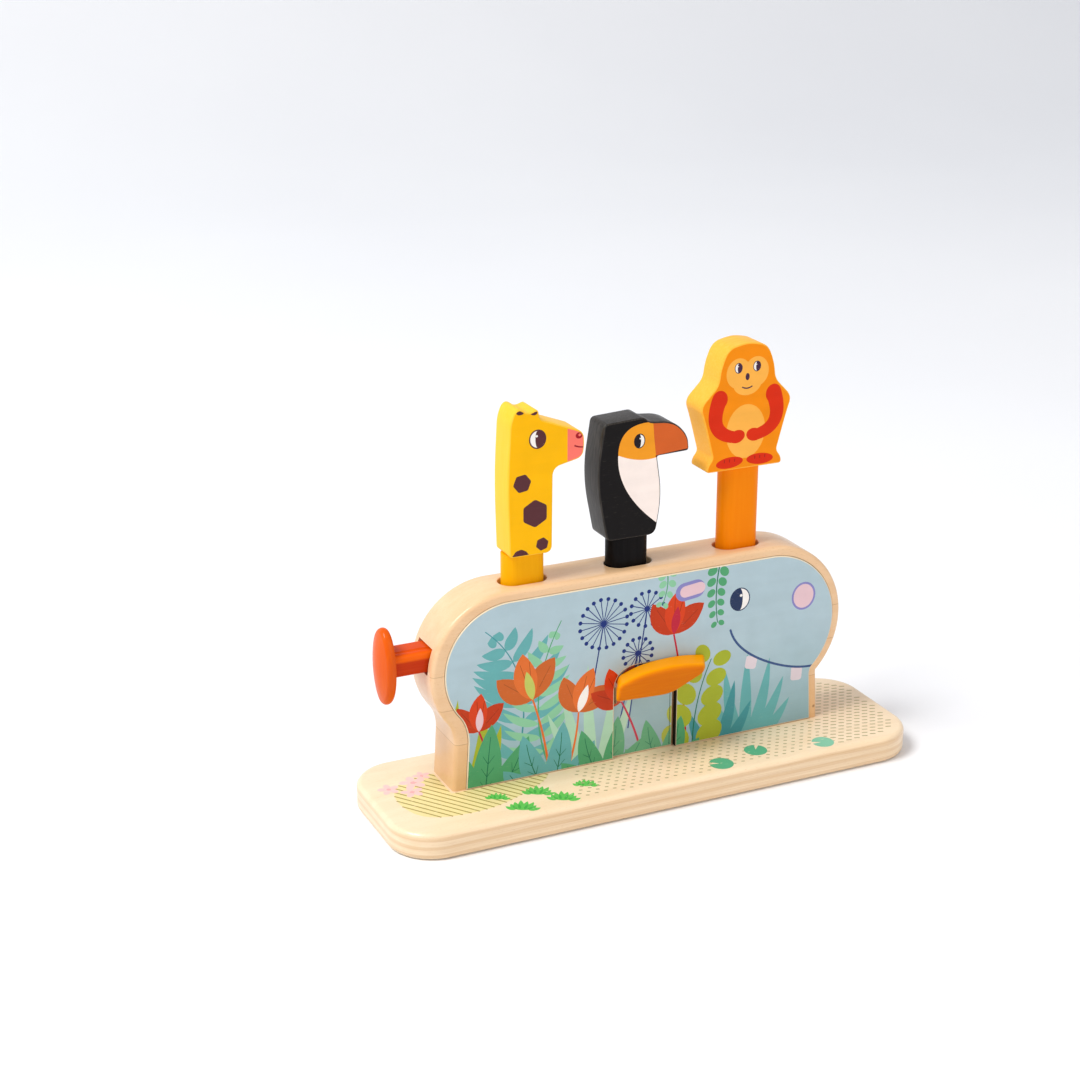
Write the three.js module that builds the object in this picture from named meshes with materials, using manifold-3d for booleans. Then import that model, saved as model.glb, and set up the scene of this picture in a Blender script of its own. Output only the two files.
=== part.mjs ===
// A wooden pop up toy: a hippo-shaped block on a base, with three animals on pegs that jump out of it.
// A push button at the tail lifts the giraffe, a side lever kicks the toucan, the monkey sits on a spring.
// Millimetres. +X points to the hippo's nose, -Y to the front, +Z up, and z = 0 is the ground.
import * as THREE from 'three';
import { mergeVertices } from 'three/addons/utils/BufferGeometryUtils.js';
import Module from 'manifold-3d';

const wasm = await Module();
wasm.setup();

// Fits and edges that several pieces share
const seatGap = 0.3;
const runningGap = 0.3;
const loosePegGapX = 1.7;
const loosePegGapY = 0.8;
const cutOverrun = 6;
const smallEdge = 1;

// Base plate
const baseLength = 300;
const baseWidth = 88;
const baseThickness = 14.6;
const baseCornerRadius = 24;
const baseEdge = 3;

// Hippo block
const blockLength = 236.8;
const blockHeight = 104.4;
const blockThickness = 28;
const blockX = -0.6;
const blockY = 9.3;
const blockEndRadius = 41;
const blockEdge = 2.4;
const footTuck = 10.7;
const neckTuck = 12.2;
const neckHeight = 26;
const neckStartAngle = THREE.MathUtils.degToRad(38);

// Printed side panels, let into the block and a little proud of it
const panelThickness = 3.4;
const panelRecess = 2.8;
const panelInset = 5.2;
const panelShift = 2;

// Lever windows in the panels, and the hatch plates in them
const windowWidth = 37;
const windowX = 1;
const windowHeight = 52;
const windowTailCorner = 14;
const windowNoseCorner = 4;
const hatchThickness = 3.2;
const hatchPocketDepth = 2;
const hatchWideGap = 1.2;

// Pegs, bores and what the animals have in common
const pegLength = 22.6;
const pegDepth = 13;
const pegEdge = 2.5;
const tenonLength = 14;
const tenonDepth = 7;
const tenonHeight = 12;
const figureThickness = 17;
const padThickness = 1.5;

// Giraffe
const giraffeX = -63.2;
const giraffePegHeight = 75.7;
const giraffeWidth = 41.1;
const giraffeHeight = 76;
const giraffeBackToPeg = 10.6;
const giraffeLifterHeight = 32.4;

// Toucan
const toucanX = -3.2;
const toucanPegShift = -1.2;
const toucanPegHeight = 68.6;
const toucanWidth = 52;
const toucanHeight = 63;
const toucanBackToPeg = 21;
const toucanPlungerHeight = 7.2;

// Monkey
const monkeyX = 60.8;
const monkeyPegHeight = 63.3;
const monkeyWidth = 54.4;
const monkeyHeight = 66.8;
const monkeyOffset = -1.2;
const monkeyPlungerHeight = 10;
const springHeight = 66;
const springRadius = 5.4;
const springWireRadius = 0.7;
const springCurls = 11;
const springSeatThickness = 2;
const springSeatRadius = 6.6;
const monkeyBoreFloor = 5.4;

// Push button, its bar and its wedge
const buttonHeight = 41;
const buttonWidth = 22.6;
const buttonThickness = 7.4;
const buttonRim = 2.6;
const buttonDrop = 1.4;
const buttonClearance = 1.8;
const buttonSocketDepth = 3.4;
const buttonTravel = 15;
const barHeight = 12.4;
const barDepth = 16;
const barCorner = 4;
const barZ = 86;
const barSlotGap = 0.8;
const legThickness = 7;
const legFromEnd = 15;
const pocketFloorZ = 24;
const wedgeTipHeight = 5;
const wedgeTipX = -63.4;
const wedgeDepth = 13;
const wedgeSlope = THREE.MathUtils.degToRad(45);
const wedgePocketTopZ = 60;
const wedgeChannelHeight = 16;

// Rocker: the axle, the kicker arm inside, and a paddle on each side
const axleRadius = 3;
const axleX = 16;
const axleZ = 60.6;
const hubRadius = 6;
const kneeX = 14.4;
const kickerRadius = 5;
const kickerDrop = 8.6;
const kickerDepth = 12;
const kickerSweepX = 2.4;
const kickerSweepZ = 3.8;
const paddleLength = 52.2;
const paddleHeight = 16;
const paddleThickness = 13;
const paddleEdge = 1.2;
const paddleSweep = 6.5;
const paddleX = -16.9;
const paddleZ = 52;
const paddleGap = 0.6;
const paddleSocketDepth = 8;

// Screws that hold the base to the block
const screwHeadRadius = 4.2;
const screwHeadHeight = 3;
const screwHeadSink = 0.8;
const screwShankRadius = 2;
const screwTipHeight = 3;
const screwLength = 21;
const screwCrossWidth = 1.1;
const screwCrossLength = 4.6;
const screwCrossDepth = 1.6;
const screwFromFootEnd = 11.7;
const screwInnerX = 30;

// Corners of the outlines, as shares of each piece's width and height, with the corner's reach as a
// share of the height
const giraffeOutlineShares = [
  [0, 0, 0.03], [0.577, 0, 0.05], [0.577, 0.584, 0.05], [0.988, 0.655, 0.06], [1, 0.796, 0.05],
  [0.409, 0.917, 0.03], [0.37, 1.003, 0.03], [0.248, 0.963, 0.025], [0.146, 1.013, 0.04],
  [0.022, 0.974, 0.05],
];
const toucanOutlineShares = [
  [0.115, 0, 0.05], [-0.008, 0.525, 0.6], [0.075, 0.984, 0.04], [0.44, 1, 0.05], [0.531, 0.959, 0.04],
  [0.815, 0.929, 0.12], [0.992, 0.819, 0.1], [1.002, 0.678, 0.03], [0.65, 0.667, 0.02],
  [0.708, 0.335, 0.3], [0.646, 0, 0.07],
];
const monkeyHalfOutlineShares = [
  [0.41, 0, 0.03], [0.403, 0.054, 0.03], [0.348, 0.112, 0.03], [0.513, 0.536, 0.09],
  [0.313, 0.707, 0.05], [0.278, 0.895, 0.06], [0.189, 1.001, 0.08],
];
const paddleOutlineShares = [
  [0, 0.1, 0.14], [0.62, 0.005, 0.4], [1, 0.6, 0.13], [1, 0.85, 0.13], [0.7, 1.01, 0.9],
  [0.29, 0.95, 0.9], [0, 0.645, 0.14],
];

const largestReachShare = 0.48;

// Places that follow from the sizes above
const blockTopZ = baseThickness + blockHeight;
const blockTailX = blockX - blockLength / 2;
const footLength = blockLength - 2 * footTuck;
const neckLength = blockLength - 2 * neckTuck;
const buttonX = blockTailX - buttonTravel - buttonClearance;
const legX = blockTailX + legFromEnd;
const screwOuterX = footLength / 2 - screwFromFootEnd;
const blockEndZ = blockTopZ - blockEndRadius;
const coreHalf = blockThickness / 2 - panelRecess;
const panelFace = coreHalf + panelThickness;
const windowTopZ = baseThickness + windowHeight;
const hatchFace = coreHalf - hatchPocketDepth + hatchThickness;
const boreLength = pegLength + 2 * loosePegGapX;
const boreDepth = pegDepth + 2 * loosePegGapY;
const plungerLength = boreLength - 2 * runningGap;
const plungerDepth = boreDepth - 2 * runningGap;
const slotTopZ = barZ + barHeight / 2 + barSlotGap;
const giraffePadZ = pocketFloorZ + runningGap + giraffeLifterHeight;
const giraffePegZ = giraffePadZ + padThickness + runningGap;
const kickerTopZ = axleZ - kickerDrop + kickerRadius;
const toucanPlungerZ = kickerTopZ + runningGap;
const toucanPadZ = toucanPlungerZ + toucanPlungerHeight;
const toucanPegZ = toucanPadZ + padThickness + runningGap;
const toucanPegX = toucanX + toucanPegShift;
const monkeyFloorZ = baseThickness + monkeyBoreFloor;
const springZ = monkeyFloorZ + springSeatThickness;
const monkeyPlungerZ = springZ + springHeight + runningGap;
const monkeyPadZ = monkeyPlungerZ + monkeyPlungerHeight;
const monkeyPegZ = monkeyPadZ + padThickness + runningGap;
const paddleBack = panelFace + paddleGap;
const axleHalf = paddleBack + paddleSocketDepth;

// Colours, as seen in daylight
const wood = new THREE.Color('#f0cf9c');
const darkWood = new THREE.Color('#dcb583');
const panelBlue = new THREE.Color('#9fc0c6');
const giraffeYellow = new THREE.Color('#f7b500');
const toucanBlack = new THREE.Color('#1d1b1b');
const monkeyOrange = new THREE.Color('#f28a0a');
const buttonRed = new THREE.Color('#e2521d');
const leverAmber = new THREE.Color('#f39a0d');
const steelGrey = new THREE.Color('#b9bcc0');
const feltGrey = new THREE.Color('#8a8d90');

// Axes for shapes drawn in the x-z plane and pushed along y, and in the y-z plane and pushed along x
const alongY = new THREE.Matrix4().makeBasis(
  new THREE.Vector3(1, 0, 0), new THREE.Vector3(0, 0, 1), new THREE.Vector3(0, -1, 0));
const alongX = new THREE.Matrix4().makeBasis(
  new THREE.Vector3(0, 1, 0), new THREE.Vector3(0, 0, 1), new THREE.Vector3(1, 0, 0));

// Solids: a closed geometry becomes a solid that can be joined to others and cut by them.
function solid(geometry) {
  const bare = geometry.clone();
  bare.deleteAttribute('normal');
  bare.deleteAttribute('uv');
  const merged = mergeVertices(bare);
  return new wasm.Manifold(new wasm.Mesh({
    numProp: 3,
    vertProperties: new Float32Array(merged.attributes.position.array),
    triVerts: new Uint32Array(merged.index.array),
  }));
}

function geometryOf(body) {
  const mesh = body.getMesh();
  const geometry = new THREE.BufferGeometry();
  geometry.setAttribute('position', new THREE.BufferAttribute(mesh.vertProperties, 3));
  geometry.setIndex(new THREE.BufferAttribute(mesh.triVerts, 1));
  geometry.computeVertexNormals();
  return geometry;
}

// A shape pushed out between two levels, its rim rounded by edge without growing the outline
function extrusion(shape, low, high, edge, curveSegments, edgeSegments) {
  const geometry = new THREE.ExtrudeGeometry(shape, {
    depth: high - low - 2 * edge,
    curveSegments,
    bevelEnabled: edge > 0,
    bevelThickness: edge,
    bevelSize: edge,
    bevelOffset: -edge,
    bevelSegments: edgeSegments,
  });
  return geometry.translate(0, 0, low + edge);
}

function post(shape, low, high, edge = 0, curveSegments = 6, edgeSegments = 2) {
  return solid(extrusion(shape, low, high, edge, curveSegments, edgeSegments));
}

function slabGeometry(shape, low, high, edge, curveSegments, edgeSegments) {
  return extrusion(shape, -high, -low, edge, curveSegments, edgeSegments).applyMatrix4(alongY);
}

function slab(shape, low, high, edge = 0, curveSegments = 6, edgeSegments = 2) {
  return solid(slabGeometry(shape, low, high, edge, curveSegments, edgeSegments));
}

function bar(shape, low, high) {
  return solid(extrusion(shape, low, high, 0, 4, 1).applyMatrix4(alongX));
}

function block(lowX, highX, lowY, highY, lowZ, highZ) {
  const geometry = new THREE.BoxGeometry(highX - lowX, highY - lowY, highZ - lowZ);
  geometry.translate((lowX + highX) / 2, (lowY + highY) / 2, (lowZ + highZ) / 2);
  return solid(geometry);
}

// Levels on one side of the block, the lower one first: side is -1 for the front and 1 for the back.
function sideLevels(side, near, far) {
  return [blockY + side * near, blockY + side * far].sort((a, b) => a - b);
}

function sideSlab(shape, side, near, far) {
  const [low, high] = sideLevels(side, near, far);
  return slab(shape, low, high);
}

// Shapes
function stadium(length, depth, x, y) {
  const end = depth / 2;
  const reach = length / 2 - end;
  const shape = new THREE.Shape();
  shape.moveTo(x - reach, y - end);
  shape.lineTo(x + reach, y - end);
  shape.absarc(x + reach, y, end, -Math.PI / 2, Math.PI / 2, false);
  shape.lineTo(x - reach, y + end);
  shape.absarc(x - reach, y, end, Math.PI / 2, 3 * Math.PI / 2, false);
  return shape;
}

function circle(x, y, radius) {
  return new THREE.Shape().absarc(x, y, radius, 0, 2 * Math.PI, false);
}

// Corners [x, y, reach]: each corner is rounded by a curve that starts and ends one reach from it,
// or less where the next corner is near. A corner with no reach stays sharp.
function roundedOutline(corners) {
  const points = corners.map(([x, y]) => new THREE.Vector2(x, y));
  const shape = new THREE.Shape();
  corners.forEach(([, , reach], i) => {
    const corner = points[i];
    const towards = (neighbour) => {
      const share = Math.min(reach / corner.distanceTo(neighbour), largestReachShare);
      return corner.clone().lerp(neighbour, share);
    };
    const start = towards(points[(i + points.length - 1) % points.length]);
    const end = towards(points[(i + 1) % points.length]);
    if (i === 0) shape.moveTo(start.x, start.y);
    else shape.lineTo(start.x, start.y);
    if (reach > 0) shape.quadraticCurveTo(corner.x, corner.y, end.x, end.y);
  });
  return shape;
}

function roundedRectangle(lowX, highX, lowY, highY, reach) {
  return roundedOutline([[lowX, lowY, reach], [highX, lowY, reach], [highX, highY, reach], [lowX, highY, reach]]);
}

// Corner shares of a piece, in its own width and height
function cornersFromShares(shares, x, y, width, height) {
  return shares.map(([u, v, reach]) => [x + u * width, y + v * height, reach * height]);
}

// The hippo's outline, drawn in by inset: feet, neck and a round end on each side, flat on top
function hippoOutline(inset, x, bottomZ) {
  const endX = blockLength / 2 - blockEndRadius;
  const radius = blockEndRadius - inset;
  const neck = neckLength / 2 - inset;
  const neckZ = baseThickness + neckHeight;
  const foot = neck + (footLength - neckLength) / 2 * (neckZ - bottomZ) / neckHeight;
  const turn = neckStartAngle;
  const turnPoint = new THREE.Vector2(endX + radius * Math.cos(turn), blockEndZ - radius * Math.sin(turn));
  const bendZ = turnPoint.y - (turnPoint.x - neck) / Math.tan(turn);
  const shape = new THREE.Shape();
  shape.moveTo(x - foot, bottomZ);
  shape.lineTo(x + foot, bottomZ);
  shape.lineTo(x + neck, neckZ);
  shape.quadraticCurveTo(x + neck, bendZ, x + turnPoint.x, turnPoint.y);
  shape.absarc(x + endX, blockEndZ, radius, -turn, Math.PI / 2, false);
  shape.absarc(x - endX, blockEndZ, radius, Math.PI / 2, Math.PI + turn, false);
  shape.quadraticCurveTo(x - neck, bendZ, x - neck, neckZ);
  return shape;
}

// Lever window, open at the bottom, drawn in by inset on the left and the top, and by rightInset
function windowOutline(inset, rightInset, bottomZ) {
  const low = windowX - windowWidth / 2 + inset;
  const high = windowX + windowWidth / 2 - rightInset;
  const top = windowTopZ - inset;
  return roundedOutline([
    [low, bottomZ, 0], [high, bottomZ, 0], [high, top, windowNoseCorner], [low, top, windowTailCorner],
  ]);
}

// Two round ends of unlike size, with straight sides that touch both
function linkOutline(x1, z1, radius1, x2, z2, radius2) {
  const distance = Math.hypot(x2 - x1, z2 - z1);
  const heading = Math.atan2(z2 - z1, x2 - x1);
  const lean = Math.acos((radius1 - radius2) / distance);
  const shape = new THREE.Shape();
  shape.absarc(x1, z1, radius1, heading + lean, heading + 2 * Math.PI - lean, false);
  shape.absarc(x2, z2, radius2, heading - lean, heading + lean, false);
  return shape;
}

const screwPlaces = [-screwOuterX, -screwInnerX, screwInnerX, screwOuterX];

// A countersunk screw seen from its head, widened by gap to cut its own hole
function screwProfile(gap) {
  const headTop = screwHeadSink + screwHeadHeight;
  const tipStart = screwLength - screwTipHeight;
  const opening = gap > 0 ? -cutOverrun : screwHeadSink;
  return [
    [0, opening], [screwHeadRadius + gap, opening], [screwHeadRadius + gap, screwHeadSink],
    [screwShankRadius + gap, headTop + gap], [screwShankRadius + gap, tipStart + gap],
    [0, screwLength + gap],
  ].map(([radius, z]) => new THREE.Vector2(radius, z));
}

function screwBody(x, gap) {
  const geometry = new THREE.LatheGeometry(screwProfile(gap), 16);
  geometry.rotateX(Math.PI / 2);
  return solid(geometry.translate(x, blockY, 0));
}

function basePlate() {
  const outline = roundedRectangleArc(baseLength, baseWidth, baseCornerRadius);
  let plate = post(outline, 0, baseThickness, baseEdge, 6, 3);
  for (const x of screwPlaces) plate = plate.subtract(screwBody(x, seatGap));
  return plate;
}

function roundedRectangleArc(length, width, radius) {
  const x = length / 2 - radius;
  const y = width / 2 - radius;
  const shape = new THREE.Shape();
  shape.absarc(x, -y, radius, -Math.PI / 2, 0, false);
  shape.absarc(x, y, radius, 0, Math.PI / 2, false);
  shape.absarc(-x, y, radius, Math.PI / 2, Math.PI, false);
  shape.absarc(-x, -y, radius, Math.PI, 3 * Math.PI / 2, false);
  return shape;
}

function screw(x) {
  const head = screwHeadSink;
  const reach = screwCrossLength / 2;
  const half = screwCrossWidth / 2;
  const floor = head + screwCrossDepth;
  return screwBody(x, 0)
    .subtract(block(x - reach, x + reach, blockY - half, blockY + half, -cutOverrun, floor))
    .subtract(block(x - half, x + half, blockY - reach, blockY + reach, -cutOverrun, floor));
}

function pegBore(x, floorZ) {
  return post(stadium(boreLength, boreDepth, x, blockY), floorZ, blockTopZ + cutOverrun);
}

// The room for the button's bar, leg and wedge inside the block, and the slot in the tail
function buttonRoom() {
  const halfDepth = barDepth / 2 + runningGap;
  const front = blockY - halfDepth;
  const back = blockY + halfDepth;
  const boreEdge = giraffeX - boreLength / 2 + smallEdge;
  const wedgeSide = giraffeX - boreLength / 2 + boreDepth / 2 + smallEdge;
  const channelEnd = wedgeTipX + buttonTravel + barSlotGap;
  const slotHalfDepth = barDepth / 2 + barSlotGap;
  const slotHalfHeight = barHeight / 2 + barSlotGap;
  const tailX = blockTailX - cutOverrun;
  return block(legX - barSlotGap, boreEdge, front, back, pocketFloorZ, slotTopZ)
    .add(block(legX, wedgeSide, front, back, pocketFloorZ, wedgePocketTopZ))
    .add(block(legX, channelEnd, front, back, pocketFloorZ, pocketFloorZ + wedgeChannelHeight))
    .add(block(tailX, legX, blockY - slotHalfDepth, blockY + slotHalfDepth,
      barZ - slotHalfHeight, barZ + slotHalfHeight));
}

// The room for the kicker arm: low under the toucan, high round the hub. The axle's hole runs right
// through the block.
function rockerRoom() {
  const halfDepth = kickerDepth / 2 + runningGap;
  const low = toucanPegX - kickerRadius - kickerSweepX;
  const boreEdge = toucanX + boreLength / 2 - smallEdge;
  const high = axleX + hubRadius + barSlotGap;
  const bottom = axleZ - kickerDrop - kickerRadius - barSlotGap;
  const front = blockY - halfDepth;
  const back = blockY + halfDepth;
  const axleHole = circle(axleX, axleZ, axleRadius + runningGap);
  return block(low, high, front, back, bottom, kickerTopZ + kickerSweepZ)
    .add(block(boreEdge, high, front, back, bottom, axleZ + hubRadius + barSlotGap))
    .add(slab(axleHole, blockY - coreHalf - cutOverrun, blockY + coreHalf + cutOverrun));
}

function hippoBlock() {
  const outline = hippoOutline(0, blockX, baseThickness - cutOverrun);
  let core = slab(outline, blockY - blockThickness / 2, blockY + blockThickness / 2, blockEdge, 9);
  const wide = blockLength;
  core = core.subtract(block(-wide, wide, -wide, wide, -wide, baseThickness));
  const recess = hippoOutline(panelInset - seatGap, blockX + panelShift, baseThickness - cutOverrun);
  const hatchPocket = windowOutline(0, 0, baseThickness - cutOverrun);
  for (const side of [-1, 1]) {
    core = core.subtract(sideSlab(recess, side, coreHalf, coreHalf + cutOverrun));
    core = core.subtract(sideSlab(hatchPocket, side, coreHalf - hatchPocketDepth, coreHalf + cutOverrun));
  }
  core = core
    .subtract(pegBore(giraffeX, pocketFloorZ))
    .subtract(pegBore(toucanX, kickerTopZ))
    .subtract(pegBore(monkeyX, monkeyFloorZ))
    .subtract(buttonRoom())
    .subtract(rockerRoom());
  for (const x of screwPlaces) core = core.subtract(screwBody(x, seatGap));
  return core;
}

function sidePanel(side) {
  const outline = hippoOutline(panelInset, blockX + panelShift, baseThickness + seatGap);
  const window = windowOutline(0, 0, baseThickness - cutOverrun);
  return sideSlab(outline, side, coreHalf, panelFace)
    .subtract(sideSlab(window, side, coreHalf - cutOverrun, panelFace + cutOverrun));
}

function hatch(side) {
  const outline = windowOutline(seatGap, hatchWideGap, baseThickness + seatGap);
  const axleHole = circle(axleX, axleZ, axleRadius + runningGap);
  return sideSlab(outline, side, coreHalf - hatchPocketDepth, hatchFace)
    .subtract(sideSlab(axleHole, side, 0, panelFace));
}

// Button: an oval disc with a domed face and a round rim, made as a turned disc drawn in along y
function pushButton() {
  const radius = buttonHeight / 2;
  const rimSteps = 6;
  const domeSteps = 5;
  const domeRise = buttonThickness - 2 * buttonRim;
  const profile = [new THREE.Vector2(0, 0)];
  for (let i = 0; i <= rimSteps; i += 1) {
    const turn = Math.PI * i / rimSteps - Math.PI / 2;
    profile.push(new THREE.Vector2(
      radius - buttonRim + buttonRim * Math.cos(turn), buttonRim + buttonRim * Math.sin(turn)));
  }
  for (let i = 1; i <= domeSteps; i += 1) {
    const share = 1 - i / domeSteps;
    profile.push(new THREE.Vector2(
      share * (radius - buttonRim), 2 * buttonRim + domeRise * (1 - share * share)));
  }
  const disc = new THREE.LatheGeometry(profile, 32);
  disc.rotateZ(Math.PI / 2);
  disc.scale(1, 1, buttonWidth / buttonHeight);
  disc.rotateX(Math.PI / 2);
  disc.translate(buttonX, blockY, barZ - buttonDrop);
  const socket = barSection(seatGap);
  return solid(disc).subtract(bar(socket, buttonX - buttonSocketDepth, buttonX + cutOverrun));
}

function barSection(gap) {
  const halfDepth = barDepth / 2 + gap;
  const halfHeight = barHeight / 2 + gap;
  return roundedRectangle(blockY - halfDepth, blockY + halfDepth, barZ - halfHeight, barZ + halfHeight,
    barCorner + gap);
}

// Bar and leg: the leg reaches down behind the tail and carries the wedge
function pushBar() {
  const end = legX + legThickness;
  const half = barDepth / 2;
  const leg = block(legX, end, blockY - half, blockY + half, pocketFloorZ + runningGap, barZ);
  return bar(barSection(0), buttonX - buttonSocketDepth, end).add(leg);
}

function pushWedge() {
  const heel = legX + legThickness;
  const floor = pocketFloorZ + runningGap;
  const tipTop = pocketFloorZ + wedgeTipHeight;
  const shape = new THREE.Shape();
  shape.moveTo(heel, floor);
  shape.lineTo(wedgeTipX, floor);
  shape.lineTo(wedgeTipX, tipTop);
  shape.lineTo(heel, tipTop + (wedgeTipX - heel) * Math.tan(wedgeSlope));
  return slab(shape, blockY - wedgeDepth / 2, blockY + wedgeDepth / 2);
}

// Lifter: a block in the giraffe's bore whose lower corner is cut to the wedge's slope
function giraffeLifter() {
  const rise = Math.tan(wedgeSlope);
  const clearance = runningGap / Math.cos(wedgeSlope);
  const body = post(stadium(plungerLength, plungerDepth, giraffeX, blockY),
    pocketFloorZ + runningGap, giraffePadZ, smallEdge, 5, 1);
  const slopeZ = (x) => pocketFloorZ + wedgeTipHeight + clearance + (wedgeTipX - x) * rise;
  const left = giraffeX - boreLength;
  const right = giraffeX + boreLength;
  const shape = new THREE.Shape();
  shape.moveTo(left, slopeZ(left));
  shape.lineTo(left, slopeZ(right));
  shape.lineTo(right, slopeZ(right));
  return body.subtract(slab(shape, blockY - boreDepth, blockY + boreDepth));
}

function plunger(x, z, height) {
  return post(stadium(plungerLength, plungerDepth, x, blockY), z, z + height, smallEdge, 5, 1);
}

function feltPad(x, z) {
  const inset = 2 * smallEdge;
  return post(stadium(plungerLength - inset, plungerDepth - inset, x, blockY), z, z + padThickness);
}

function peg(x, z, height) {
  const top = z + height;
  const long = post(stadium(pegLength, pegDepth, x, blockY), z, top + cutOverrun, pegEdge, 6, 3);
  const wide = pegLength;
  const tenon = post(stadium(tenonLength, tenonDepth, x, blockY), top - pegEdge, top + tenonHeight, 0, 4);
  return long.subtract(block(x - wide, x + wide, blockY - wide, blockY + wide, top, top + tenonHeight + wide))
    .add(tenon);
}

// An animal cut from a board, with the mortise that its peg's tenon is glued into
function figure(corners, x, z) {
  const half = figureThickness / 2;
  const board = slab(roundedOutline(corners), blockY - half, blockY + half, smallEdge, 5);
  const mortise = stadium(tenonLength + 2 * seatGap, tenonDepth + 2 * seatGap, x, blockY);
  return board.subtract(post(mortise, z - cutOverrun, z + tenonHeight, 0, 4));
}

function giraffeFigure() {
  const z = giraffePegZ + giraffePegHeight;
  const corners = cornersFromShares(
    giraffeOutlineShares, giraffeX - giraffeBackToPeg, z, giraffeWidth, giraffeHeight);
  return figure(corners, giraffeX, z);
}

function toucanFigure() {
  const z = toucanPegZ + toucanPegHeight;
  const corners = cornersFromShares(
    toucanOutlineShares, toucanPegX - toucanBackToPeg, z, toucanWidth, toucanHeight);
  return figure(corners, toucanPegX, z);
}

function monkeyFigure() {
  const z = monkeyPegZ + monkeyPegHeight;
  const x = monkeyX + monkeyOffset;
  const right = cornersFromShares(monkeyHalfOutlineShares, x, z, monkeyWidth, monkeyHeight);
  const left = right.map(([cornerX, cornerZ, reach]) => [2 * x - cornerX, cornerZ, reach]).reverse();
  return figure([...right, ...left], monkeyX, z);
}

// Spring: one tube on a helix, its end curls drawn together, with 8 steps of 5 sides to a curl
function springPoints() {
  const steps = springCurls * 8;
  const endShare = 1 / springCurls;
  const solidRise = 2 * springWireRadius + smallEdge;
  const free = springHeight - 2 * springWireRadius - 2 * solidRise;
  const points = [];
  for (let i = 0; i <= steps; i += 1) {
    const share = i / steps;
    const turn = 2 * Math.PI * springCurls * share;
    const low = Math.min(share / endShare, 1) * solidRise;
    const high = Math.max((share - 1 + endShare) / endShare, 0) * solidRise;
    const middle = THREE.MathUtils.clamp((share - endShare) / (1 - 2 * endShare), 0, 1) * free;
    points.push(new THREE.Vector3(
      monkeyX + springRadius * Math.cos(turn), blockY + springRadius * Math.sin(turn),
      springZ + springWireRadius + low + middle + high));
  }
  return points;
}

function leastGap(points) {
  const curl = 8;
  let least = Infinity;
  points.forEach((point, i) => {
    for (let j = i + curl / 2; j < points.length; j += 1) {
      least = Math.min(least, point.distanceTo(points[j]));
    }
  });
  return least - 2 * springWireRadius;
}

function monkeySpring() {
  const sides = 5;
  const points = springPoints();
  const positions = [];
  const index = [];
  points.forEach((point, i) => {
    const before = points[Math.max(i - 1, 0)];
    const after = points[Math.min(i + 1, points.length - 1)];
    const along = after.clone().sub(before).normalize();
    const outward = new THREE.Vector3(point.x - monkeyX, point.y - blockY, 0).normalize();
    const across = new THREE.Vector3().crossVectors(along, outward).normalize();
    const straightOut = new THREE.Vector3().crossVectors(across, along);
    for (let k = 0; k < sides; k += 1) {
      const turn = 2 * Math.PI * k / sides;
      const corner = point.clone()
        .addScaledVector(straightOut, springWireRadius * Math.cos(turn))
        .addScaledVector(across, springWireRadius * Math.sin(turn));
      positions.push(corner.x, corner.y, corner.z);
    }
  });
  for (let i = 0; i < points.length - 1; i += 1) {
    for (let k = 0; k < sides; k += 1) {
      const a = i * sides + k;
      const b = i * sides + (k + 1) % sides;
      index.push(a, b, a + sides, b, b + sides, a + sides);
    }
  }
  const last = (points.length - 1) * sides;
  for (let k = 1; k < sides - 1; k += 1) {
    index.push(0, k + 1, k, last, last + k, last + k + 1);
  }
  console.log(`monkey_spring least gap to itself ${leastGap(points).toFixed(2)} mm`);
  const geometry = new THREE.BufferGeometry();
  geometry.setAttribute('position', new THREE.BufferAttribute(new Float32Array(positions), 3));
  geometry.setIndex(index);
  geometry.computeVertexNormals();
  return geometry;
}

function springSeat() {
  return post(circle(monkeyX, blockY, springSeatRadius), monkeyFloorZ, springZ, 0, 10);
}

// Rocker pieces
function rockerAxle() {
  return slab(circle(axleX, axleZ, axleRadius), blockY - axleHalf, blockY + axleHalf, smallEdge / 2, 10, 1);
}

// Kicker arm: from its hub down to a knee, then level under the toucan's plunger
function kickerArm() {
  const half = kickerDepth / 2;
  const low = blockY - half;
  const high = blockY + half;
  const armZ = axleZ - kickerDrop;
  const upper = linkOutline(axleX, axleZ, hubRadius, kneeX, armZ, kickerRadius);
  const lower = linkOutline(kneeX, armZ, kickerRadius, toucanPegX, armZ, kickerRadius);
  const hole = circle(axleX, axleZ, axleRadius + seatGap);
  return slab(upper, low, high, 0, 8)
    .add(slab(lower, low, high, 0, 8))
    .subtract(slab(hole, low - cutOverrun, high + cutOverrun, 0, 10));
}

// A paddle outside the panel, drawn towards the tail the further it stands out
function paddle(side) {
  const corners = cornersFromShares(paddleOutlineShares, paddleX, paddleZ, paddleLength, paddleHeight);
  const [low, high] = sideLevels(side, paddleBack, paddleBack + paddleThickness);
  const lean = -side * paddleSweep / paddleThickness;
  const sweep = new THREE.Matrix4().makeShear(0, 0, lean, 0, 0, 0);
  const geometry = slabGeometry(roundedOutline(corners), low, high, paddleEdge, 6, 2)
    .applyMatrix4(sweep)
    .translate(-lean * (blockY + side * paddleBack), 0, 0);
  return solid(geometry).subtract(sideSlab(circle(axleX, axleZ, axleRadius + seatGap), side, 0, axleHalf));
}

// Assembly: one named mesh for each piece, in a group for each body that moves
function piece(name, geometry, color, roughness, metalness = 0) {
  const material = new THREE.MeshStandardMaterial({ color, roughness, metalness });
  const mesh = new THREE.Mesh(geometry, material);
  mesh.name = name;
  return mesh;
}

const toy = new THREE.Group();

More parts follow.
